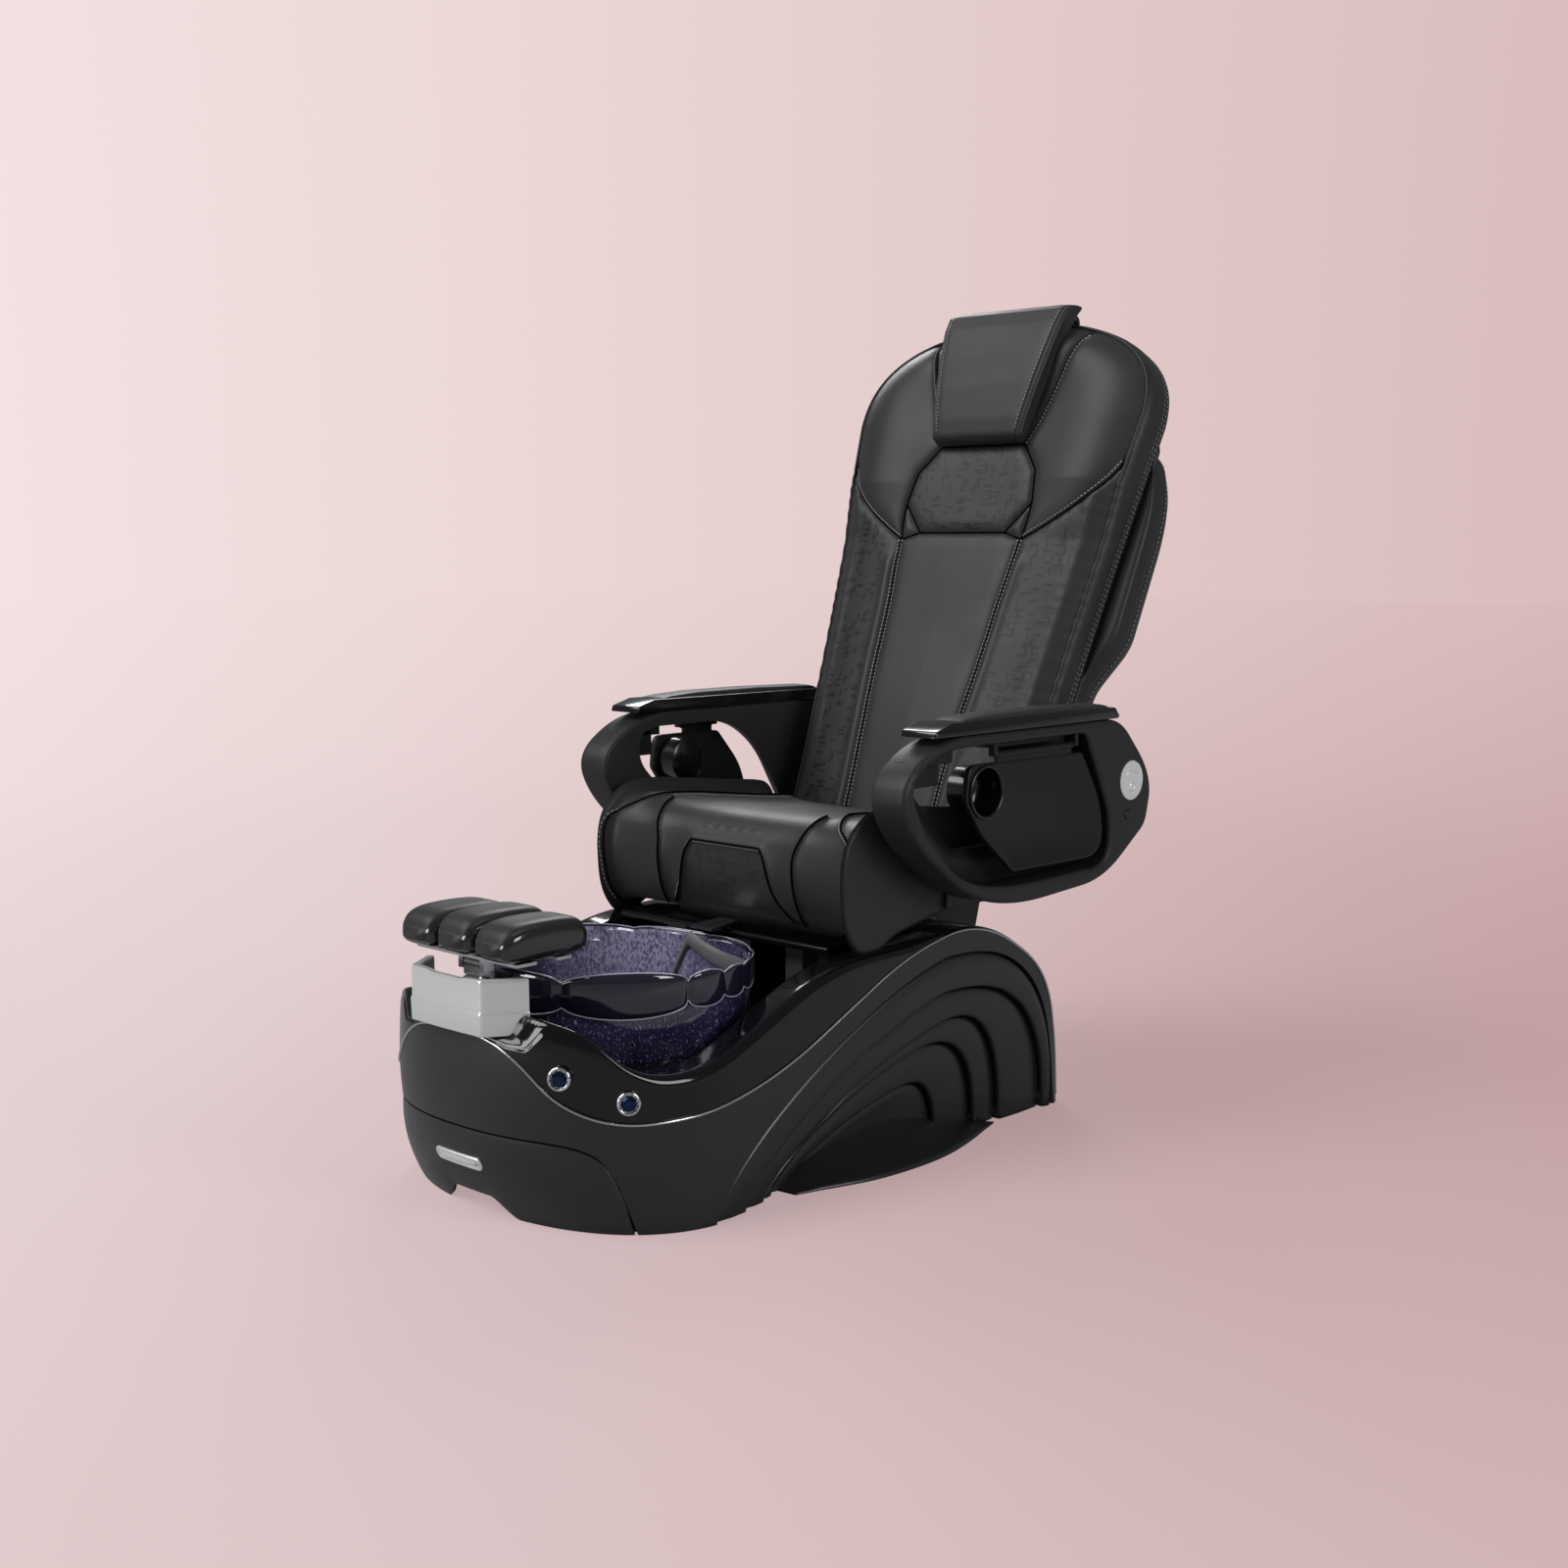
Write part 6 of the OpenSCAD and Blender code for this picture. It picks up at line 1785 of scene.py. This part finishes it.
def tray_cup(side, word):
    """Gloss cup let into the tray, with a broad rim."""
    cup = [(0.3, 344.2), (30, 344.0), (37, 345.5), (CUP_R - 0.4, 351), (CUP_R, 360), (CUP_R, 396),
           (CUP_R + 1, 399), (CUP_R + 3, 400.4), (CUP_R + 6, 400.0), (CUP_R + 7, 398.6), (CUP_R + 7, 396),
           (CUP_R + 2.4, 395), (CUP_R + 2.4, 343), (CUP_R, 341), (0.3, 341)]
    solid(f"tray_cup_{word}_well", sideways(lathe(cup, 72), *CUP, side), f"side_tray_{word}",
          "cup", [f"tray_cup_{word}"], sharp=50)


def side_tray(side, word):
    """One tray, with its hinge and its cup."""
    tray_plate(side, word)
    tray_barrel(side, word)
    tray_cup(side, word)


# ---------------------------------------------------------------- CAD parts that keep their shape

SLOT_LOOKS = {"painted_frame": "frame", "polished_steel": "steel", "jet_plastic": "jet",
              "black_plastic": "plastic", "pipe_plastic": "pipe", "brass_fitting": "brass",
              "zinc_steel": "zinc", "plywood": "plywood", "bracket_paint": "bracket",
              "roller_plastic": "roller", "chrome_knob": "chrome"}
EDGED = {"pedestal": 2.5, "footrest_bracket": 1.5, "side_bracket_left": 1.2, "side_bracket_right": 1.2,
         "seat_pan": 1.5, "recline_motor": 1.2, "jet_motor": 1.0, "massage_carriage": 1.0, "deck_posts": 1.5,
         "bowl_support": 1.5}


def cad_parts():
    """New materials for the CAD nodes that stay, and softened edges where they show."""
    for name, obj in frame["nodes"].items():
        if obj.hide_render:
            continue
        slot = obj.data.materials[0].name.split(".")[0]
        obj.data.materials[0] = look[SLOT_LOOKS.get(slot, "plastic")]
        if name in EDGED:
            soften(obj, EDGED[name], 2)


# ---------------------------------------------------------------- camera, floor and light

# This section is in metres, with the chair in the middle.
CAMERA_AT = (2.4363, -2.5954, 1.0634)
CAMERA_TURN = (math.radians(90 - 7.06), 0, math.radians(43.2))
LENS, SENSOR = 45, 36


def camera():
    """Looks at the chair from its front left corner, a little from above."""
    data = bpy.data.cameras.new("camera")
    data.lens, data.sensor_width = LENS, SENSOR
    obj = bpy.data.objects.new("camera", data)
    obj.location, obj.rotation_euler = CAMERA_AT, CAMERA_TURN
    bpy.context.scene.collection.objects.link(obj)
    bpy.context.scene.camera = obj


ACROSS = (0.729, 0.684, 0.0)    # the backdrop and the floor darken in this direction
PALE, DEEP = (0.93, 0.81, 0.805), (0.66, 0.46, 0.46)                  # the backdrop's two ends
NEAR_PALE, NEAR_DEEP = (0.76, 0.61, 0.62), (0.52, 0.32, 0.33)         # the floor's glow below the chair, painted light
LIT_PALE, LIT_DEEP = (0.74, 0.62, 0.62), (0.56, 0.40, 0.405)          # the floor's colour, painted darker to one side as painted shade
DIM_FLOOR = (0.30, 0.29, 0.30, 1)                                     # what reflections see of it
FLOOR_HALF = 30.0
AMBIENT, AMBIENT_SHARE = (0.97, 0.97, 1.0, 1), 0.34
REFLECTED, REFLECTED_SHARE = (0.88, 0.92, 0.96, 1), 0.13
SUN_POWER, SUN_SPREAD, SUN_WAY = 1.9, math.radians(38), (0.42, 0.62, -0.80)
AREA_LIGHTS = [   # (name, place, aim, size, power)
    ("fill", (4.2, 0.2, 2.2), (0, 0, 0.8), (1.4, 2.2), 62),
    ("back", (-2.2, 2.0, 2.8), (0, 0, 0.9), (1.4, 1.4), 42),
    ("front", (-0.9, -3.6, 1.0), (0, -0.7, 0.2), (1.2, 0.9), 26),
]


def backdrop(owner, way, output):
    """Share of the deep colour in a direction, for a material or the world."""
    turn = node(owner, "ShaderNodeVectorMath", {0: (way, output), 1: ACROSS}, operation="DOT_PRODUCT")
    return ramp(owner, (turn, "Value"), -0.5, 0.5)


def floor_material():
    """Lit near the chair, with its colour painted darker to one side as painted shade, and partly glowing
    even there, painted light that pales the chair's cast shadow. Further off it takes the backdrop's colours
    and hides the horizon.
    """
    mat = base_material("floor", LIT_PALE, 0.012, 0.55, 0.03, wear=1.2, specular=0.15)
    where = node(mat, "ShaderNodeTexCoord")
    near = node(mat, "ShaderNodeVectorMath", {0: (where, "Object"), 1: ACROSS}, operation="DOT_PRODUCT")
    # painted shade: the floor's colour darkens to one side
    overlay(mat, ramp(mat, (near, "Value"), -1.2, 2.0), "Result", LIT_DEEP)
    away = node(mat, "ShaderNodeVectorMath", {0: (where, "Object")}, operation="LENGTH")
    longer = node(mat, "ShaderNodeMath", {0: (away, "Value"), 1: 1.5}, operation="ADD")
    shrink = node(mat, "ShaderNodeMath", {0: 1.0, 1: (longer, "Value")}, operation="DIVIDE")
    way = node(mat, "ShaderNodeVectorMath", {0: (where, "Object"), "Scale": (shrink, "Value")},
               operation="SCALE")
    share = backdrop(mat, way, "Vector")
    horizon = colour_mix(mat, (share, "Result"), PALE, DEEP)
    close = colour_mix(mat, (share, "Result"), NEAR_PALE, NEAR_DEEP)
    back = ramp(mat, (shrink, "Value"), 0.42, 0.0)
    tone = colour_mix(mat, (back, "Result"), (close, MIX_OUT), (horizon, MIX_OUT))
    # painted light: the floor glows, even below the chair, which pales the chair's cast shadow
    glow = node(mat, "ShaderNodeEmission", {"Color": (tone, MIX_OUT)})
    far = ramp(mat, (away, "Value"), -8.0, 6.5, interpolation_type="SMOOTHSTEP")
    lit = node(mat, "ShaderNodeMixShader",
               {0: (far, "Result"), 1: (shader_of(mat), "BSDF"), 2: (glow, "Emission")})
    dim = node(mat, "ShaderNodeBsdfDiffuse", {"Color": DIM_FLOOR})
    rays = node(mat, "ShaderNodeLightPath")
    seen = node(mat, "ShaderNodeMixShader",
                {0: (rays, "Is Camera Ray"), 1: (dim, "BSDF"), 2: (lit, "Shader")})
    link(mat, seen, "Shader", mat.node_tree.nodes["Material Output"], "Surface")
    return mat


def floor():
    """Large floor under the chair."""
    mesh = bpy.data.meshes.new("floor")
    r = FLOOR_HALF
    mesh.from_pydata([(-r, -r, 0), (r, -r, 0), (r, r, 0), (-r, r, 0)], [], [(0, 1, 2, 3)])
    obj = bpy.data.objects.new("floor", mesh)
    bpy.context.scene.collection.objects.link(obj)
    obj.data.materials.append(floor_material())


def lamp(name, data, way, at=(0, 0, 0)):
    """Puts a light at a place, shining along way."""
    obj = bpy.data.objects.new(name, data)
    obj.location = at
    obj.rotation_euler = Vector(way).to_track_quat("-Z", "Y").to_euler()
    bpy.context.scene.collection.objects.link(obj)


def area_light(name, at, aim, size, power):
    """Rectangular light at a place, aimed at another."""
    data = bpy.data.lights.new(name, "AREA")
    data.shape, data.size, data.size_y = "RECTANGLE", size[0], size[1]
    data.energy = power
    lamp(name, data, Vector(aim) - Vector(at), at)


def world():
    """Even light all round. The camera sees a backdrop that darkens to one side, reflections a dim one."""
    w = bpy.data.worlds.new("world")
    bpy.context.scene.world = w
    w.use_nodes = True
    w.node_tree.nodes.clear()
    share = backdrop(w, node(w, "ShaderNodeTexCoord"), "Generated")
    tone = colour_mix(w, (share, "Result"), PALE, DEEP)
    seen = node(w, "ShaderNodeBackground", {"Color": (tone, MIX_OUT), "Strength": 1.0})
    ambient = node(w, "ShaderNodeBackground", {"Color": AMBIENT, "Strength": AMBIENT_SHARE})
    reflected = node(w, "ShaderNodeBackground", {"Color": REFLECTED, "Strength": REFLECTED_SHARE})
    rays = node(w, "ShaderNodeLightPath")
    mixed = node(w, "ShaderNodeMixShader", {0: (rays, "Is Glossy Ray"), 1: (ambient, 0), 2: (reflected, 0)})
    mixed = node(w, "ShaderNodeMixShader", {0: (rays, "Is Camera Ray"), 1: (mixed, 0), 2: (seen, 0)})
    node(w, "ShaderNodeOutputWorld", {"Surface": (mixed, 0)})


def studio():
    """Floor, backdrop and lights."""
    floor()
    world()
    sun = bpy.data.lights.new("sun", "SUN")
    sun.energy, sun.angle = SUN_POWER, SUN_SPREAD
    lamp("sun", sun, SUN_WAY)
    for light in AREA_LIGHTS:
        area_light(*light)


# ---------------------------------------------------------------- the chair

def chair():
    """Every piece of the chair, from the floor up."""
    lower_shell()
    front_panel()
    badge()
    surround()
    rear_cover()
    both(side_panel)
    trim_beads()
    nose_cap()
    bowl()
    wave_piece()
    knobs()
    footrest()
    seat()
    back_cushion()
    head_pillow()
    back_shell()
    for maker in (arm, arm_top, arm_fittings, side_tray):
        both(maker)
    cad_parts()


chair()
camera()
studio()
bpy.context.scene.view_settings.view_transform = "Standard"
bpy.context.view_layer.update()
